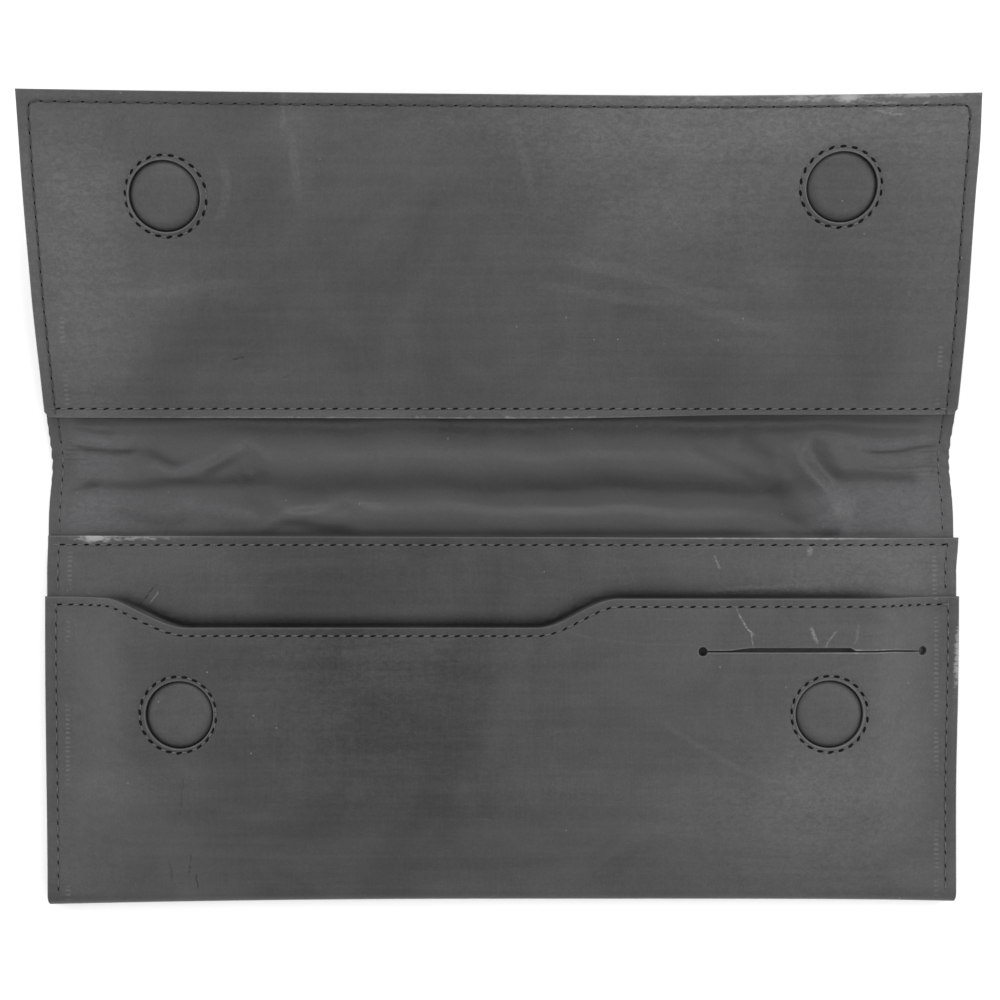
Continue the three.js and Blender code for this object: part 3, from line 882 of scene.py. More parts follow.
def newMaterial(name, plain):
    # plain: the skin's values that don't vary
    material = bpy.data.materials.new(name)
    material.use_nodes = True
    tree = material.node_tree
    tree.nodes.clear()
    skin = tree.nodes.new("ShaderNodeBsdfPrincipled")
    for key, value in plain.items():
        skin.inputs[key].default_value = value
    tree.links.new(skin.outputs[0], tree.nodes.new("ShaderNodeOutputMaterial").inputs[0])
    position = tree.nodes.new("ShaderNodeTexCoord").outputs["Object"]
    inMm = add(tree, "ShaderNodeVectorMath", {0: position, "Scale": 1 / mm}, operation="SCALE").outputs[0]
    return material, tree, skin, inMm


def attribute(tree, name):
    return add(tree, "ShaderNodeAttribute", None, attribute_name=name).outputs["Fac"]


# Scratches, and cracks with a strength under zero, on the faces that show: x, y from the bottom fold, turn,
# length, width, bend and strength
handMarks = [
    (62.0, 74.3, -58, 10, 0.28, 0.03, 0.5),
    (64.0, 70.0, -84, 5, 0.3, 0.02, 0.35),
    (79.8, 71.0, -70, 5.5, 0.6, 0.03, 0.4),
    (84.0, 70.0, 55, 7, 0.35, -0.05, 0.25),
    (91.0, 71.5, 80, 7, 0.5, 0.01, 0.15),
    (56.2, 89.4, -65, 4.5, 0.45, 0.04, 0.35),
    (80.6, 92.2, 75, 3, 0.9, 0.0, 0.3),
    (70.0, 83.0, 3, 40, 0.8, 0.0, 0.1),
    (-91.0, 80.2, 50, 5, 0.3, 0.0, 0.35),
    (-70.0, 184.5, 84, 20, 1.8, 0.0286, 0.06),
    (42.0, 180.0, -60, 22, 0.22, 0.01, 0.1),
    (36.0, 163.0, -13, 56, 2.4, 0.0, 0.06),
    (26.0, 158.5, -10, 44, 1.6, 0.0, 0.05),
    (58.0, 153.5, -15, 48, 2.2, 0.0, 0.05),
    (-84.0, 160.0, 6, 40, 1.8, 0.0, 0.05),
    (6.0, 190.0, -75, 24, 1.6, 0.0, 0.05),
    (55.0, 40.0, -28, 40, 1.0, 0.004, 0.05),
    (-92.8, 80.8, 52, 9, 0.22, 0.0, -0.8),
    (-81.7, 10.6, 79, 8, 0.2, 0.0, -0.9),
    (-80.3, 5.2, -84, 5, 0.28, 0.0, -0.9),
    (-86.9, 8.4, -86, 7, 0.18, 0.0, -0.7),
    (-82.0, 30.0, 84, 14, 0.12, 0.0, -0.6),
    (-68.8, 142.7, 14, 4.0, 0.35, 0.0, -0.8),
    (-56.6, 137.9, 20, 2.4, 0.3, 0.0, -0.7),
    (94.1, 205.3, -5, 14, 0.3, 0.01, 0.35),
    (97.0, 202.6, -8, 9, 0.35, 0.02, 0.35),
    (105.0, 204.6, 25, 6, 0.3, 0.0, 0.3),
    (-55.0, 203.0, 86, 12, 0.9, 0.0, 0.09),
    (-52.5, 190.0, 95, 22, 1.6, 0.0, 0.06),
]


def leatherMaterial(name, look, marks=()):
    material, tree, skin, inMm = newMaterial(name, {"Specular IOR Level": look["gloss"]})
    edge, rubbed, haze = (attribute(tree, key) for key in ("edge", "rubbed", "haze"))
    grain = useGroup(tree, hideGrain, Vector=inMm, Grain_Size=look["grainSize"])
    waxMarksAndShade = useGroup(tree, waxMarks, Vector=inMm, Rubbed=rubbed)
    wear = useGroup(tree, edgeWear, Vector=inMm, Edge=edge, Width=look["rimWidth"])
    shade = varied(tree, grain["Clouds"], 1.0, look["clouds"])
    shade = plus(tree, shade, varied(tree, grain["Streaks"], 0.0, look["streaks"]))
    shade = plus(tree, shade, varied(tree, grain["Fibres"], 0.0, look["fibres"]))
    # patches partly of the leather's own tone and partly of painted light and shade, broken up by the crackle
    toneAndLightPatches = times(tree, haze, varied(tree, grain["Crackle"], 1.0, look["crackle"]))
    shade = plus(tree, shade, times(tree, toneAndLightPatches, look["haze"]))
    mottle = remap(tree, grain["Grain"], 0.25, 0.85, 1 - look["mottle"], 1 + look["mottle"])
    base = mixColour(tree, 1.0, tones[look["tone"]], times(tree, shade, mottle), "MULTIPLY")
    rim = plus(tree, look["rim"], times(tree, rubbed, 0.4))
    rim = times(tree, wear["Rim"], rim)
    worn = plus(tree, rim, times(tree, waxMarksAndShade["Specks"], look["specks"]))
    worn = plus(tree, worn, times(tree, waxMarksAndShade["Scratches"], look["scratches"]))
    worn = plus(tree, worn, times(tree, waxMarksAndShade["Patches"], look["patches"]), True)
    cracked = times(tree, wear["Cut"], look["burnish"])
    if marks:
        height = add(tree, "ShaderNodeSeparateXYZ", {0: inMm}).outputs[2]
        upper = remap(tree, height, 3.0, 4.5)
        ladder = useGroup(tree, feedMarks, Vector=inMm)["Ladder"]
        ladder = times(tree, times(tree, ladder, upper), look["ladder"])
        worn = plus(tree, worn, ladder)
        for x, y, turn, length, width, bow, strength in marks:
            line = useGroup(tree, handMark, Vector=inMm, Middle=(x, y + bottomFold / mm, 0), Reach=length / 2,
                            Turn=-math.radians(turn), Width=width, Bend=bow)["Mark"]
            line = times(tree, times(tree, line, upper), abs(strength))
            if strength > 0:
                worn = plus(tree, worn, line, True)
            else:
                cracked = plus(tree, cracked, line, True)
    base = mixColour(tree, worn, base, tones["worn"])
    base = mixColour(tree, cracked, base, tones["hole"])
    tree.links.new(base, skin.inputs["Base Color"])
    rough = varied(tree, grain["Clouds"], look["rough"], 0.05)
    rough = plus(tree, rough, times(tree, worn, 0.15), True)
    tree.links.new(rough, skin.inputs["Roughness"])
    height = times(tree, grain["Grain"], look["grain"])
    height = plus(tree, height, times(tree, grain["Streaks"], look["grain"] * 0.9))
    height = plus(tree, height, times(tree, cracked, -0.05))
    raised = add(tree, "ShaderNodeBump", {"Height": height, "Distance": mm, "Strength": 1.0})
    tree.links.new(raised.outputs[0], skin.inputs["Normal"])
    return material


waxedHide = {"tone": "hide", "grainSize": 0.45, "grain": 0.03, "mottle": 0.12, "streaks": 0.07,
             "fibres": 0.04, "clouds": 0.19, "haze": 0.6, "crackle": 0.4, "rough": 0.5, "rim": 0.1,
             "rimWidth": 0.5, "specks": 0.4, "scratches": 0.12, "patches": 0.75, "burnish": 0.35,
             "ladder": 0.15, "gloss": 0.3}
suppleLining = {**waxedHide, "tone": "lining", "grainSize": 0.3, "grain": 0.012, "streaks": 0.01,
                "fibres": 0.01, "clouds": 0.06, "rough": 0.44, "rim": 0.0, "specks": 0.35, "scratches": 0.02}
hideMaterial = leatherMaterial("waxed hide", waxedHide, handMarks)
outerHideMaterial = leatherMaterial("outside of the waxed hide", waxedHide)
liningMaterial = leatherMaterial("supple lining", suppleLining)


def threadMaterial(name, tone):
    material, tree, skin, inMm = newMaterial(name, {"Roughness": 0.6})
    twist = noise(tree, stretched(tree, inMm, (2.4, 2.4, 2.4), 0.6), 1.0, 2)
    base = mixColour(tree, 1.0, tones[tone], remap(tree, twist, 0.3, 0.7, 0.65, 1.3), "MULTIPLY")
    tree.links.new(base, skin.inputs["Base Color"])
    raised = add(tree, "ShaderNodeBump", {"Height": times(tree, twist, 0.1), "Distance": mm})
    tree.links.new(raised.outputs[0], skin.inputs["Normal"])
    return material


def holeShadeMaterial(name, tone):
    # a near-black blob sunk into each stitch hole: painted shade of the hole and of the thread's shadow, with
    # a little fluff of the cut
    material, tree, skin, inMm = newMaterial(name, {"Roughness": 0.9, "Specular IOR Level": 0.0})
    fluff = remap(tree, noise(tree, inMm, 3.0, 2), 0.4, 0.8, 0.0, 0.6)
    base = mixColour(tree, fluff, tones[tone], tones["cut"])
    tree.links.new(base, skin.inputs["Base Color"])
    return material


def plainMaterial(name, tone, rough, metal, grainSize):
    material, tree, skin, inMm = newMaterial(name, {"Metallic": metal})
    grain = useGroup(tree, hideGrain, Vector=inMm, Grain_Size=grainSize)
    base = mixColour(tree, 1.0, tones[tone], remap(tree, grain["Grain"], 0.2, 0.9, 0.8, 1.15), "MULTIPLY")
    tree.links.new(base, skin.inputs["Base Color"])
    tree.links.new(varied(tree, grain["Clouds"], rough, 0.06), skin.inputs["Roughness"])
    return material


waxedThread = threadMaterial("waxed thread", "thread")
darkThread = threadMaterial("dark thread", "darkThread")
stitchHoleShade = holeShadeMaterial("stitch hole shade", "hole")
faintHoleShade = holeShadeMaterial("faint stitch hole shade", "faintHoleShade")
backingMaterial = plainMaterial("bonded backing", "backing", 0.85, 0.0, 0.4)
magnetMaterial = plainMaterial("nickel plate", "magnet", 0.28, 1.0, 0.2)
print("materials ready")

# Stitches: a thread that dives into slanted holes all along a seam, each hole a sunk blob painted near black
# as its shade
stitching = {"pitch": 3.3, "length": 1.9, "width": 0.5, "height": 0.22, "hole": 1.6, "holeWidth": 0.52,
             "slant": 0.16, "jitter": 0.08, "sunk": 0.08, "thread": waxedThread, "holeShade": stitchHoleShade}
ringStitching = {**stitching, "length": 1.4, "hole": 1.7, "holeWidth": 0.78, "slant": 0.2, "jitter": 0.16}
edgeStitching = {**stitching, "pitch": 3.45, "length": 2.9, "width": 0.62, "hole": 1.0, "holeWidth": 0.42,
                 "thread": darkThread}
sideStitching = {**stitching, "pitch": 3.45, "length": 2.2, "hole": 1.2, "holeWidth": 0.42,
                 "holeShade": faintHoleShade}


def sewingTree():
    tree = bpy.data.node_groups.new("sewing", "GeometryNodeTree")
    face = tree.interface
    face.new_socket("Seam", in_out="INPUT", socket_type="NodeSocketGeometry")
    for name in ("Pitch", "Length", "Width", "Height", "Hole", "Hole Width", "Slant", "Jitter", "Sunk"):
        face.new_socket(name, in_out="INPUT", socket_type="NodeSocketFloat")
    face.new_socket("Seed", in_out="INPUT", socket_type="NodeSocketInt")
    face.new_socket("Thread Material", in_out="INPUT", socket_type="NodeSocketMaterial")
    face.new_socket("Hole Material", in_out="INPUT", socket_type="NodeSocketMaterial")
    face.new_socket("Sewn", in_out="OUTPUT", socket_type="NodeSocketGeometry")
    given = tree.nodes.new("NodeGroupInput").outputs
    line = add(tree, "GeometryNodeMeshToCurve", {0: given["Seam"]}).outputs[0]
    half = times(tree, given["Pitch"], 0.5)
    spaced = add(tree, "GeometryNodeResampleCurve", {"Curve": line, "Length": half}, mode="LENGTH").outputs[0]
    odd = calc(tree, "MODULO", tree.nodes.new("GeometryNodeInputIndex").outputs[0], 2.0)
    chosen = {"Thread": minus(tree, 1.0, odd), "Hole": odd}
    up = add(tree, "GeometryNodeInputNamedAttribute", {"Name": "up"}, data_type="FLOAT_VECTOR").outputs[0]
    standing = add(tree, "FunctionNodeAlignRotationToVector", {"Vector": up}, axis="Z").outputs[0]
    tangent = tree.nodes.new("GeometryNodeInputTangent").outputs[0]
    facing = add(tree, "FunctionNodeAlignRotationToVector", {"Rotation": standing, "Vector": tangent},
                 axis="X", pivot_axis="Z").outputs[0]
    down = times(tree, given["Sunk"], -1.0)
    joined = tree.nodes.new("GeometryNodeJoinGeometry")
    for part in ("Thread", "Hole"):
        ball = add(tree, "GeometryNodeMeshUVSphere", {"Segments": 8, "Rings": 6, "Radius": 0.5}).outputs[0]
        rounded = add(tree, "GeometryNodeSetShadeSmooth", {0: ball}).outputs[0]
        shaped = add(tree, "GeometryNodeTransform", {"Geometry": rounded})
        if part == "Thread":
            size = {0: given["Length"], 1: given["Width"], 2: given["Height"]}
        else:
            size = {0: given["Hole"], 1: given["Hole Width"], 2: times(tree, given["Sunk"], 1.8)}
            shift = add(tree, "ShaderNodeCombineXYZ", {2: down}).outputs[0]
            turn = add(tree, "ShaderNodeCombineXYZ", {2: given["Slant"]}).outputs[0]
            tree.links.new(shift, shaped.inputs["Translation"])
            tree.links.new(turn, shaped.inputs["Rotation"])
        tree.links.new(add(tree, "ShaderNodeCombineXYZ", size).outputs[0], shaped.inputs["Scale"])
        sway = add(tree, "FunctionNodeRandomValue", {"Seed": given["Seed"]}, data_type="FLOAT")
        tree.links.new(times(tree, given["Jitter"], -1.0), sway.inputs[2])
        tree.links.new(given["Jitter"], sway.inputs[3])
        swayed = add(tree, "ShaderNodeCombineXYZ", {2: sway.outputs[1]}).outputs[0]
        asRotation = add(tree, "FunctionNodeEulerToRotation", {0: swayed}).outputs[0]
        turned = add(tree, "FunctionNodeRotateRotation", {"Rotation": facing, "Rotate By": asRotation},
                     rotation_space="LOCAL").outputs[0]
        placed = add(tree, "GeometryNodeInstanceOnPoints", {"Points": spaced, "Selection": chosen[part],
                                                            "Instance": shaped.outputs[0],
                                                            "Rotation": turned}).outputs[0]
        real = add(tree, "GeometryNodeRealizeInstances", {0: placed}).outputs[0]
        done = add(tree, "GeometryNodeSetMaterial", {"Geometry": real, "Material": given[part + " Material"]})
        tree.links.new(done.outputs[0], joined.inputs[0])
    tree.links.new(joined.outputs[0], tree.nodes.new("NodeGroupOutput").inputs[0])
    return tree


sewing = sewingTree()


def sew(name, look, runs, seed, closed=False):
    # runs: for each seam, the face that it lies on and its flat path
    verts, edges, ups = [], [], []
    for shape, path in runs:
        normal = normalsOf(shape, path)
        start, last = len(verts), len(verts) + len(path) - 1
        verts += inRow(shape(path)).tolist()
        ups += normal.tolist()
        edges += [(i, i + 1) for i in range(start, last)]
        edges += [(last, start)] if closed else []
    mesh = bpy.data.meshes.new(name)
    mesh.from_pydata(verts, edges, [])
    mesh.attributes.new("up", "FLOAT_VECTOR", "POINT").data.foreach_set("vector", np.ravel(ups))
    seam = newObject(name, mesh)
    sizes = {key.title(): look[key] * mm for key in ("pitch", "length", "width", "height", "hole", "sunk")}
    sizes |= {"Hole Width": look["holeWidth"] * mm, "Slant": look["slant"], "Jitter": look["jitter"],
              "Seed": seed, "Thread Material": look["thread"], "Hole Material": look["holeShade"]}
    worked = seam.modifiers.new("sewing", "NODES")
    worked.node_group = sewing
    for item in sewing.interface.items_tree:
        if item.item_type == "SOCKET" and item.in_out == "INPUT" and item.name in sizes:
            worked[item.identifier] = sizes[item.name]
    bpy.context.view_layer.update()
    plain = bpy.data.meshes.new_from_object(seam.evaluated_get(bpy.context.evaluated_depsgraph_get()))
    seam.modifiers.clear()
    seam.data = plain
    plain.name = name
    print(f"{name}: {len(plain.polygons)} faces")
    return seam


# The cuts of leather. Rows: from, to, and the spacing of points across and along. Rubbed patches, and patches
# partly of the leather's own tone and partly of painted light and shade, lighter at the sides towards the
# softboxes: x and y on the cut, half sizes and strength
bothCreases = (backOf(pouch["firstCrease"]), backOf(secondCrease))
creaseWear = [(x, y, 30, 2.5, 0.3) for x in (-80, 10, 90) for y in bothCreases]
leather = {
    "hide": {
        "thickness": 1.3, "edgeRound": 0.16, "seamDip": 0.17,
        "rows": [(-400, -139, 4.5, 3.5), (-139, -105, 1.6, 0.9), (-105, -16, 4.5, 3.5), (-16, 90, 2.2, 1.5)],
        "rubbed": [
            (119.4, 62, 1.0, 8, 0.9), (119.6, 70, 0.6, 6, 0.5), (92, 66.9, 14, 0.8, 0.6),
            (62, 67.1, 10, 0.7, 0.4), *creaseWear, (-60, -2, 70, 2.5, 0.25), (70, -2, 60, 2.5, 0.3),
        ],
        "haze": [
            (98, 40, 28, 60, 0.42), (66, 26, 28, 16, 0.4), (-110, 45, 14, 60, 0.38), (52, 66, 16, 8, 0.15),
            (86, 34, 22, 12, 0.25), (70, 8, 50, 8, 0.3), (-30, 45, 44, 32, -0.36), (-45, 74, 30, 5, -0.2),
            (-88, 45, 14, 50, 0.2), (75, 40, 25, 16, 0.15), (-33, 66, 45, 8, -0.35),
            (-48, 52, 30, 20, -0.22), (74, 23, 42, 9, 0.4), (92, 14, 16, 8, 0.25), (-96, 32, 16, 5, 0.25),
            (-76, 36, 14, 3, 0.15), (-62, 24, 4, 2, 0.3), (28, 20, 20, 4, 0.15),
        ],
    },
    "flapPanel": {
        "thickness": 1.3, "edgeRound": 0.16, "seamDip": 0.17,
        "rows": [(-9, 8, 2.2, 0.9), (8, 90, 2.6, 2.0)],
        "rubbed": [
            (56, 82.4, 22, 1.1, 0.5), (87, 82.2, 2.6, 1.3, 1.0), (104, 82.7, 14, 0.6, 1.0),
            (98, 79.6, 10, 2, 0.4), (-60, 0.3, 45, 0.7, 0.5), (20, 0.4, 45, 0.7, 0.5),
            (78, 82.3, 9, 1.4, 0.6),
        ],
        "haze": [
            (0, 60, 150, 26, 0.14), (-108, 42, 16, 48, 1.1), (-104, 60, 20, 14, 0.3), (-82, 34, 18, 5, 0.3),
            (-50, 66, 5, 18, 0.35), (31, 15, 14, 12, 0.3), (92, 45, 14, 30, 0.25), (66, 77, 66, 10, 1.35),
            (15, 70, 16, 10, 0.3), (40, 56, 34, 18, 0.55), (68, 37, 12, 3, 0.3), (63, 22, 18, 7, 0.35),
            (112, 50, 14, 44, 0.6), (62, 58, 13, 14, 0.35), (-30, 77, 70, 5, 0.3), (30, 82.4, 90, 1.6, 0.4),
            (-83, 58, 4, 4, -0.2), (86, 58, 8, 5, -0.1), (58, 52, 40, 26, 0.14), (34, 60, 12, 16, 0.12),
            (-62, 42, 14, 12, 0.2), (-20, 0.8, 95, 1.3, 0.3),
        ],
    },
    "pocketPanel": {
        "thickness": 1.1, "edgeRound": 0.16, "seamDip": 0.15,
        "rows": [(0, 99, 2.4, 1.8)],
        "rubbed": [
            (-108, 95.4, 5, 1.3, 1.0), (-96, 95.6, 12, 0.8, 0.75), (62, 95.9, 22, 0.5, 0.8),
            (88, 95.7, 14, 0.5, 0.7), (20, 96, 16, 0.4, 0.35), (75, 82, 26, 2, 0.35), (-97, 84, 14, 5, 0.15),
        ],
        "haze": [
            (95, 88, 34, 20, 0.85), (-110, 88, 16, 20, 0.25), (-20, 88, 45, 20, -0.3),
            (75, 83.5, 26, 2.2, 0.35), (-58, 88, 16, 20, -0.18), (-36, 74.6, 46, 2.0, 0.45),
        ],
    },
    "lining": {
        "thickness": 0.5, "edgeRound": 0.15, "seamDip": 0.08,
        "rows": [(0, 88, 3.5, 3.0), (88, 140, 1.25, 0.8)],
        "close": [((x, 108), (x + 20, 126), 0.9, 0.27) for x in (-119, 99)],
        "haze": [
            (110, 102, 26, 22, 0.55), (-100, 103, 28, 9, 0.5), (-106, 120, 22, 5, 0.3),
            (100, 121, 24, 5, 0.2), (-108, 112, 9, 16, 0.65), (108, 104, 12, 14, 0.5),
            (88, 104, 11, 8, 0.75), (-88, 99, 14, 5, 0.35), (-107, 101, 10, 5, 0.25),
        ],
    },
    "frontLining": {"thickness": 0.5, "edgeRound": 0.15, "seamDip": 0.0, "rows": [(0, 99, 3.0, 2.4)]},
    "cardSheet": {"thickness": 0.3, "edgeRound": 0.05, "seamDip": 0.0, "rows": [(0, 99, 3.0, 2.4)]},
}


def box2(low, high, step=1.0):
    (x0, y0), (x1, y1) = low, high
    return polyline([(x0, y0), (x1, y0), (x1, y1), (x0, y1), (x0, y0)], step)[:-1]


def withTopAndFoot(top, foot):
    # an outline between two edges that both run from left to right
    right = polyline([tuple(foot[-1]), tuple(top[-1])])[1:-1]
    left = polyline([tuple(top[0]), tuple(foot[0])])[1:-1]
    return np.concatenate([foot, right, top[::-1], left])


def edgeLine(edgeOf, count=241):
    across = np.linspace(-halfWidth, halfWidth, count)
    return np.stack([across, edgeOf(across)], -1)


def row(y, step=1.0):
    return polyline([(-halfWidth + 2.2, y), (halfWidth - 3.8, y)], step)


def windowsOf(part):
    return [circle(x + windowAside[f"{part} {side}"], y, closures[part]["window"])
            for name, side, x, y in closurePlaces() if name == part]


def ringSeams(part):
    rings = [circle(x, y, closures[part]["seam"]) for name, side, x, y in closurePlaces() if name == part]
    return [np.vstack([ring, ring[:1]]) for ring in rings]


def mouthSeam():
    across = np.linspace(-halfWidth + 2.2, halfWidth - 3.6, 320)
    path = np.stack([across, mouthEdge(across)], -1)
    return path - sideways(path) * pouch["mouthSeam"]


def sideSeam(x, high, low, step=1.0):
    return polyline([(x, high), (x, low)], step)


def flapSeam(low, step=1.0):
    high = pouch["flapReach"] - pouch["sideSeam"]
    x, r = sideSeamX, 2.0
    turn = np.linspace(0, math.pi / 2, 7)
    right = [(x - r + r * math.cos(a), high - r + r * math.sin(a)) for a in turn]
    left = [(-px, py) for px, py in right[::-1]]
    return polyline([(x, low), *right, *left, (-x, low)], step)


def outside(path):
    # a path on the back, spine or flap, drawn on the hide's cut
    return np.stack([path[:, 0], backOf(path[:, 1])], -1)


bothSides = (-sideSeamX, sideSeamX)
outerFlapSeam = outside(flapSeam(0.5) + (0, secondCrease))
outerSideSeams = [outside(sideSeam(x, secondCrease - 2, 4)) for x in bothSides]
hideEnd = backOf(secondCrease + pouch["flapReach"])
hideFoot = polyline([(-halfWidth, hideEnd), (halfWidth, hideEnd)], 1.5)
hideOutline = withTopAndFoot(edgeLine(mouthEdge), hideFoot)
flapHide, pouchHide = leatherPieces(
    ["flapHide", "pouchHide"], leather["hide"], hideFace, hideMaterial, hideOutline,
    holes=[slotOutline()], windows=windowsOf("front"),
    seams=[mouthSeam(), *(sideSeam(x, pouch["frontMouth"] - 0.3, 3.2, 0.75) for x in bothSides),
           *ringSeams("front"), outerFlapSeam, *outerSideSeams],
    splitAt=backOf(midSpine),
)
flapHide.data.materials[0] = outerHideMaterial
pocketPanel, = leatherPieces(
    ["pocketPanel"], leather["pocketPanel"], pocketPanelFace, hideMaterial,
    withTopAndFoot(edgeLine(lambda x: pouch["pocketMouth"] + 0.3 * np.cos(x / 76 + 1.57)),
                   polyline([(-halfWidth, 3.2), (halfWidth, 3.2)], 1.5)),
    seams=[row(pouch["pocketMouth"] - pouch["mouthSeam"], 0.75),
           *(sideSeam(x, pouch["pocketMouth"] - 1, 70, 0.75) for x in bothSides)],
    creases=[edgeLine(lambda x: mouthEdge(x) - 0.2)[2:-2]],
)
backLining, flapLining = leatherPieces(
    ["backLining", "flapLining"], leather["lining"], liningFace, liningMaterial,
    box2((-halfWidth, 3.2), (halfWidth, secondCrease + 9.7)), splitAt=midSpine,
    seams=[sideSeam(x, secondCrease + 1.2, 80, 0.5) for x in bothSides],
    # painted shade on the sides of the lining's folds
    waxed=foldShade,
)
frontLining, = leatherPieces(
    ["frontLining"], leather["frontLining"], frontLiningFace, liningMaterial,
    withTopAndFoot(edgeLine(lambda x: mouthEdge(x) - 0.12, 161),
                   polyline([(-halfWidth, 3.4), (halfWidth, 3.4)], 2.0)),
)
slotLeft = cardSlot["middle"] - cardSlot["length"] / 2 - 1.4
slotTop = pouch["frontMouth"] - cardSlot["drop"] + 2.3
cardSheet, = leatherPieces(
    ["cardSheet"], leather["cardSheet"], cardSheetFace, backingMaterial,
    box2((slotLeft, 3.4), (halfWidth, slotTop), 1.5),
)
flapPanel, = leatherPieces(
    ["flapPanel"], leather["flapPanel"], flapPanelFace, hideMaterial,
    withTopAndFoot(edgeLine(lambda x: np.full_like(x, pouch["flapReach"])), edgeLine(hemEdge)),
    windows=windowsOf("flap"),
    seams=[flapSeam(pouch["hem"] + 0.4, 0.75), row(pouch["hemSeam"], 0.75), *ringSeams("flap")],
)
print("leather cut")


# The covered magnets. Heights are over the window's leather. The cover is painted lighter all over as a
# highlight on its crown, and painted darker round its shoulder as shade, most towards the pouch's foot and
# the left
cover = {"gap": 0.08, "aside": (-0.03, 0.02), "proud": 0.5, "crown": 0.25, "shoulder": 2.7, "sink": 1.2,
         "depth": 2.0, "thickness": 0.5, "flange": 11.7, "flangeThickness": 0.45, "rings": 18, "turns": 72,
         "waxMarksAndShade": 0.75, "shadeAtFoot": 0.35, "shadeAtLeft": 0.15, "shadeFrom": 0.68, "haze": 0.3, "darker": 0.5}
magnet = {"radius": 7.8, "top": -0.75, "thickness": 1.4, "bevel": 0.3}


def latheMesh(name, profile, shape, x, y):
    # a round piece whose profile goes from its middle out and back, standing on a face at x, y
    at = np.array([[x, y]])
    centre, up = shape(at)[0], normalsOf(shape, at)[0]
    right = unit(np.array([1.0, 0, 0]) - up * up[0])
    ahead = np.cross(up, right)
    turns = cover["turns"]
    angle = np.arange(turns) / turns * 2 * math.pi
    around = np.cos(angle)[:, None] * right + np.sin(angle)[:, None] * ahead
    rings = [centre + r * around + z * up for r, z in profile[1:-1]]
    verts = np.concatenate([[centre + profile[0][1] * up], *rings, [centre + profile[-1][1] * up]])
    last = len(verts) - 1
    faces = []
    for i in range(turns):
        j = (i + 1) % turns
        faces.append((0, 1 + i, 1 + j))
        for ring in range(len(rings) - 1):
            a, b = 1 + ring * turns, 1 + (ring + 1) * turns
            faces.append((a + i, b + i, b + j, a + j))
        faces.append((last - turns + i, last, last - turns + j))
    mesh = bpy.data.meshes.new(name)
    mesh.from_pydata(inRow(verts).tolist(), [], faces)
    for polygon in mesh.polygons:
        polygon.use_smooth = True
    mesh.set_sharp_from_angle(angle=math.radians(50))
    return mesh


def makeCover(part, side, x, y, shape):
    # a leather hat over a magnet: crowned disc, round shoulder, flat flange under the panel
    c, radius = cover, closures[part]["window"] - cover["gap"]
    inner = radius - c["thickness"]

    def top(r):
        share = np.maximum(r - radius + c["shoulder"], 0) / c["shoulder"]
        return c["proud"] - c["crown"] * (r / radius) ** 2 - c["sink"] * share**2.2

    foot = -c["depth"]
    ledge = foot + c["flangeThickness"]
    profile = [(r, top(r)) for r in np.linspace(0, radius, c["rings"])]
    profile += [(radius + 0.02, ledge + 0.15), (radius + 0.5, ledge), (c["flange"], ledge)]
    profile += [(c["flange"], foot), (inner, foot)]
    profile += [(r, top(r) - c["thickness"]) for r in np.linspace(inner, 0, 8)]
    name = f"magnetCover{part.title()}{side.title()}"
    mesh = latheMesh(name, profile, shape, x + c["aside"][0], y + c["aside"][1])
    # painted shade round the shoulder, darkest on the side of the pouch's foot and to the left
    angle = np.arange(c["turns"]) / c["turns"] * 2 * math.pi
    shadeRound = c["waxMarksAndShade"] - c["shadeAtFoot"] * np.sin(angle) - c["shadeAtLeft"] * np.cos(angle)
    reach = smooth((np.array([r for r, z in profile]) / radius - c["shadeFrom"]) / (1 - c["shadeFrom"]))
    waxMarksAndShade = np.concatenate([[0], np.outer(reach[1:-1], shadeRound).ravel(), [0]])
    count = len(mesh.vertices)
    storeValues(mesh, edge=np.full(count, 6.0), seam=np.full(count, 20.0), rubbed=np.zeros(count),
                haze=c["haze"] - c["darker"] * waxMarksAndShade)
    return addPiece(name, mesh, hideMaterial)


def makeMagnet(part, side, x, y, shape):
    m = magnet
    low = m["top"] - m["thickness"]
    profile = [(0, m["top"]), (m["radius"] - m["bevel"], m["top"]), (m["radius"], m["top"] - m["bevel"]),
               (m["radius"], low + m["bevel"]), (m["radius"] - m["bevel"], low), (0, low)]
    mesh = latheMesh(f"magnet{part.title()}{side.title()}", profile, shape, x, y)
    return addPiece(mesh.name, mesh, magnetMaterial)


ringCount = 22.02  # stitches round a window, a little over so that none is lost to rounding
for part, side, x, y in closurePlaces():
    shape, body = (hideFace, "pouch") if part == "front" else (flapPanelFace, "flap")
    radius = closures[part]["seam"]
    look = {**ringStitching, "pitch": 2 * math.pi * radius / ringCount}
    runs = [(shape, circle(x, y, radius, 0.6))]
    ring = sew(f"ringStitches{part.title()}{side.title()}", look, runs, 8, True)
    x += windowAside[f"{part} {side}"]
    made = ((ring, "magnet_seam"), (makeCover(part, side, x, y, shape), "magnet_cover"),
            (makeMagnet(part, side, x, y, shape), "magnet"))
    for piece, node in made:
        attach(piece, body)
        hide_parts(f"{node}_{part}_{side}")

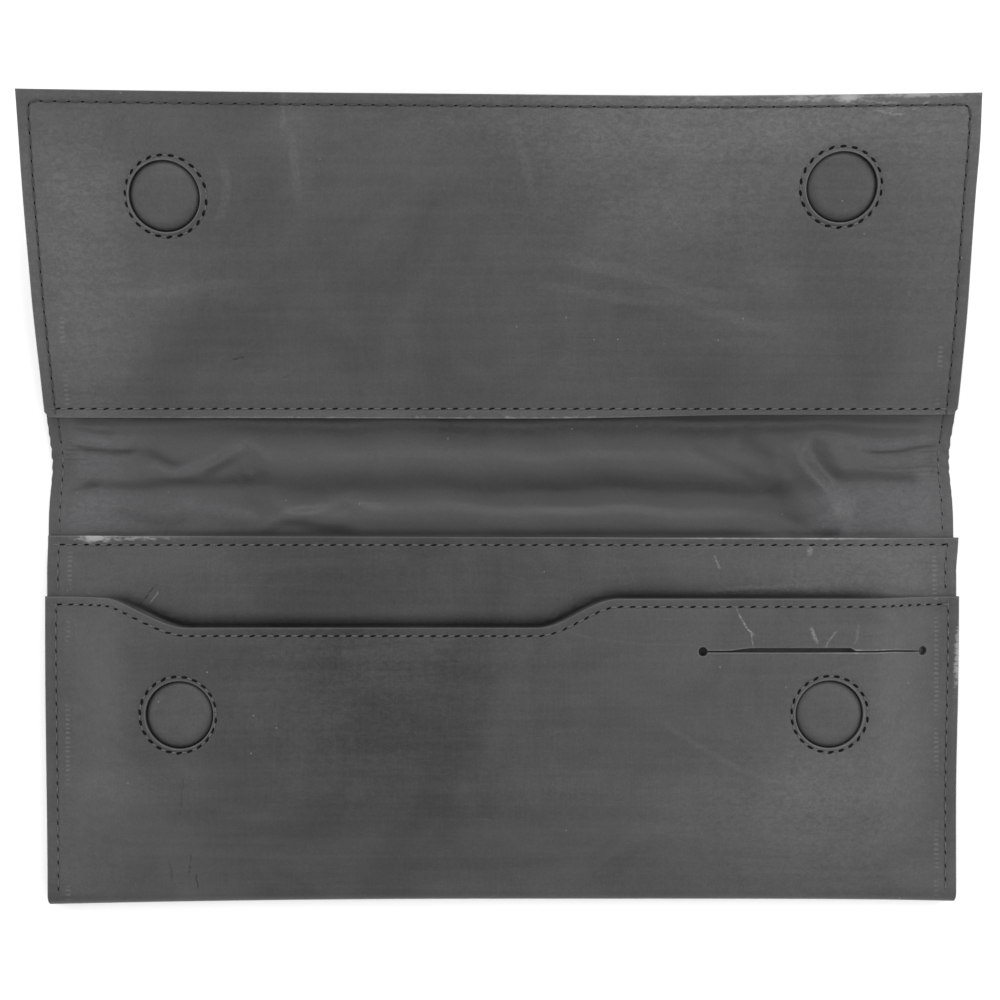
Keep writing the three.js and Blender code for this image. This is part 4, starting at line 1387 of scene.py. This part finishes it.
# The seams
pocketSeam = row(pouch["pocketMouth"] - pouch["mouthSeam"])
mouthStitches = sew("mouthStitches", {**stitching, "pitch": 3.1}, [(hideFace, mouthSeam())], 3)
pocketStitches = sew("pocketStitches", stitching, [(pocketPanelFace, pocketSeam)], 4)
hemStitches = sew("hemStitches", {**stitching, "pitch": 3.15}, [(flapPanelFace, row(pouch["hemSeam"]))], 7)
flapRuns = [(flapPanelFace, flapSeam(pouch["hem"] + 0.4)), (hideFace, outerFlapSeam)]
sideStitches = {}
for side, x in zip(("left", "right"), bothSides):
    sideStitches[side] = sew(f"{side}SideStitches", sideStitching, [
        (hideFace, sideSeam(x, pouch["frontMouth"] - 2.2, 4.6)),
        (pocketPanelFace, sideSeam(x, pouch["pocketMouth"] - 2.2, pouch["frontMouth"] + 2.6)),
        (liningFace, sideSeam(x, midSpine - 0.5, pouch["pocketMouth"] + 2.4)),
        (hideFace, outside(sideSeam(x, midSpine - 2, 4.6))),
    ], 5)
    flapRuns.append((liningFace, sideSeam(x, secondCrease - 0.4, midSpine + 2.4)))
    flapRuns.append((hideFace, outside(sideSeam(x, secondCrease - 2, midSpine + 1))))
flapStitches = sew("flapStitches", edgeStitching, flapRuns, 6)
print("sewn")

# What rides on what
for piece, nodes in (
    (pouchHide, ["pouch_skin", "spine_skin"]),
    (backLining, ["back_lining", "spine_lining"]),
    (sideStitches["left"], ["side_seam_left", "spine_seam_left"]),
    (sideStitches["right"], ["side_seam_right", "spine_seam_right"]),
):
    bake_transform(piece)
    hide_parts(*nodes)
for piece, node in ((flapHide, "flap_skin"), (flapLining, "flap_lining"), (flapStitches, "flap_edge_seam")):
    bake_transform(piece)
    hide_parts(node)
for piece, body, node in (
    (pocketPanel, "pouch", "pocket_panel"),
    (frontLining, "pouch", "front_lining"),
    (cardSheet, "pouch", "card_slot_sheet"),
    (mouthStitches, "pouch", "mouth_seam"),
    (pocketStitches, "pouch", "pocket_panel_seam"),
    (flapPanel, "flap", "flap_panel"),
    (hemStitches, "flap", "flap_hem_seam"),
):
    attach(piece, body)
    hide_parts(node)
for name in ("magnet_patch_left", "magnet_patch_right", "flap_interlining"):
    frame["nodes"][name].data.materials.clear()
    frame["nodes"][name].data.materials.append(backingMaterial)

# Table, light and camera
studio = {
    "sky": 0.99,
    "softboxes": [
        ("left softbox", (-0.46, -0.02, 0.34), (0.3, 0.9), 0.85),
        ("right softbox", (0.46, -0.02, 0.34), (0.3, 0.9), 1.25),
        ("top softbox", (0.05, 0.85, 0.6), (0.9, 0.5), 4.15),
    ],
}


def makeTable():
    mesh = bpy.data.meshes.new("table")
    reach, below = 3.0, -5e-5
    corners = ((-reach, -reach), (reach, -reach), (reach, reach), (-reach, reach))
    mesh.from_pydata([(x, y, below) for x, y in corners], [], [(0, 1, 2, 3)])
    material, tree, skin, inMm = newMaterial("white table", {"Roughness": 0.8, "Specular IOR Level": 0.1})
    even = remap(tree, noise(tree, inMm, 0.01, 2), 0.3, 0.7, 0.99, 1.0)
    tree.links.new(mixColour(tree, 1.0, tones["table"], even, "MULTIPLY"), skin.inputs["Base Color"])
    addPiece("table", mesh, material)


def softbox(name, at, size, power):
    lamp = bpy.data.lights.new(name, "AREA")
    lamp.shape = "RECTANGLE"
    lamp.size, lamp.size_y = size
    lamp.energy = power
    holder = newObject(name, lamp)
    holder.location = at
    holder.rotation_euler = (-Vector(at)).to_track_quat("-Z", "Y").to_euler()


makeTable()
world = bpy.data.worlds.new("studio")
world.use_nodes = True
world.node_tree.nodes["Background"].inputs["Color"].default_value = (1, 1, 1, 1)
world.node_tree.nodes["Background"].inputs["Strength"].default_value = studio["sky"]
bpy.context.scene.world = world
for lamp in studio["softboxes"]:
    softbox(*lamp)
bpy.context.scene.view_settings.view_transform = "Standard"

view = {"x": -0.56, "y": 105.7, "height": 390, "lens": 52.5}
lens = bpy.data.cameras.new("camera")
lens.lens = view["lens"]
lens.sensor_width = 36
camera = newObject("camera", lens)
camera.location = Vector(inRow([view["x"], view["y"], view["height"]]))
bpy.context.scene.camera = camera
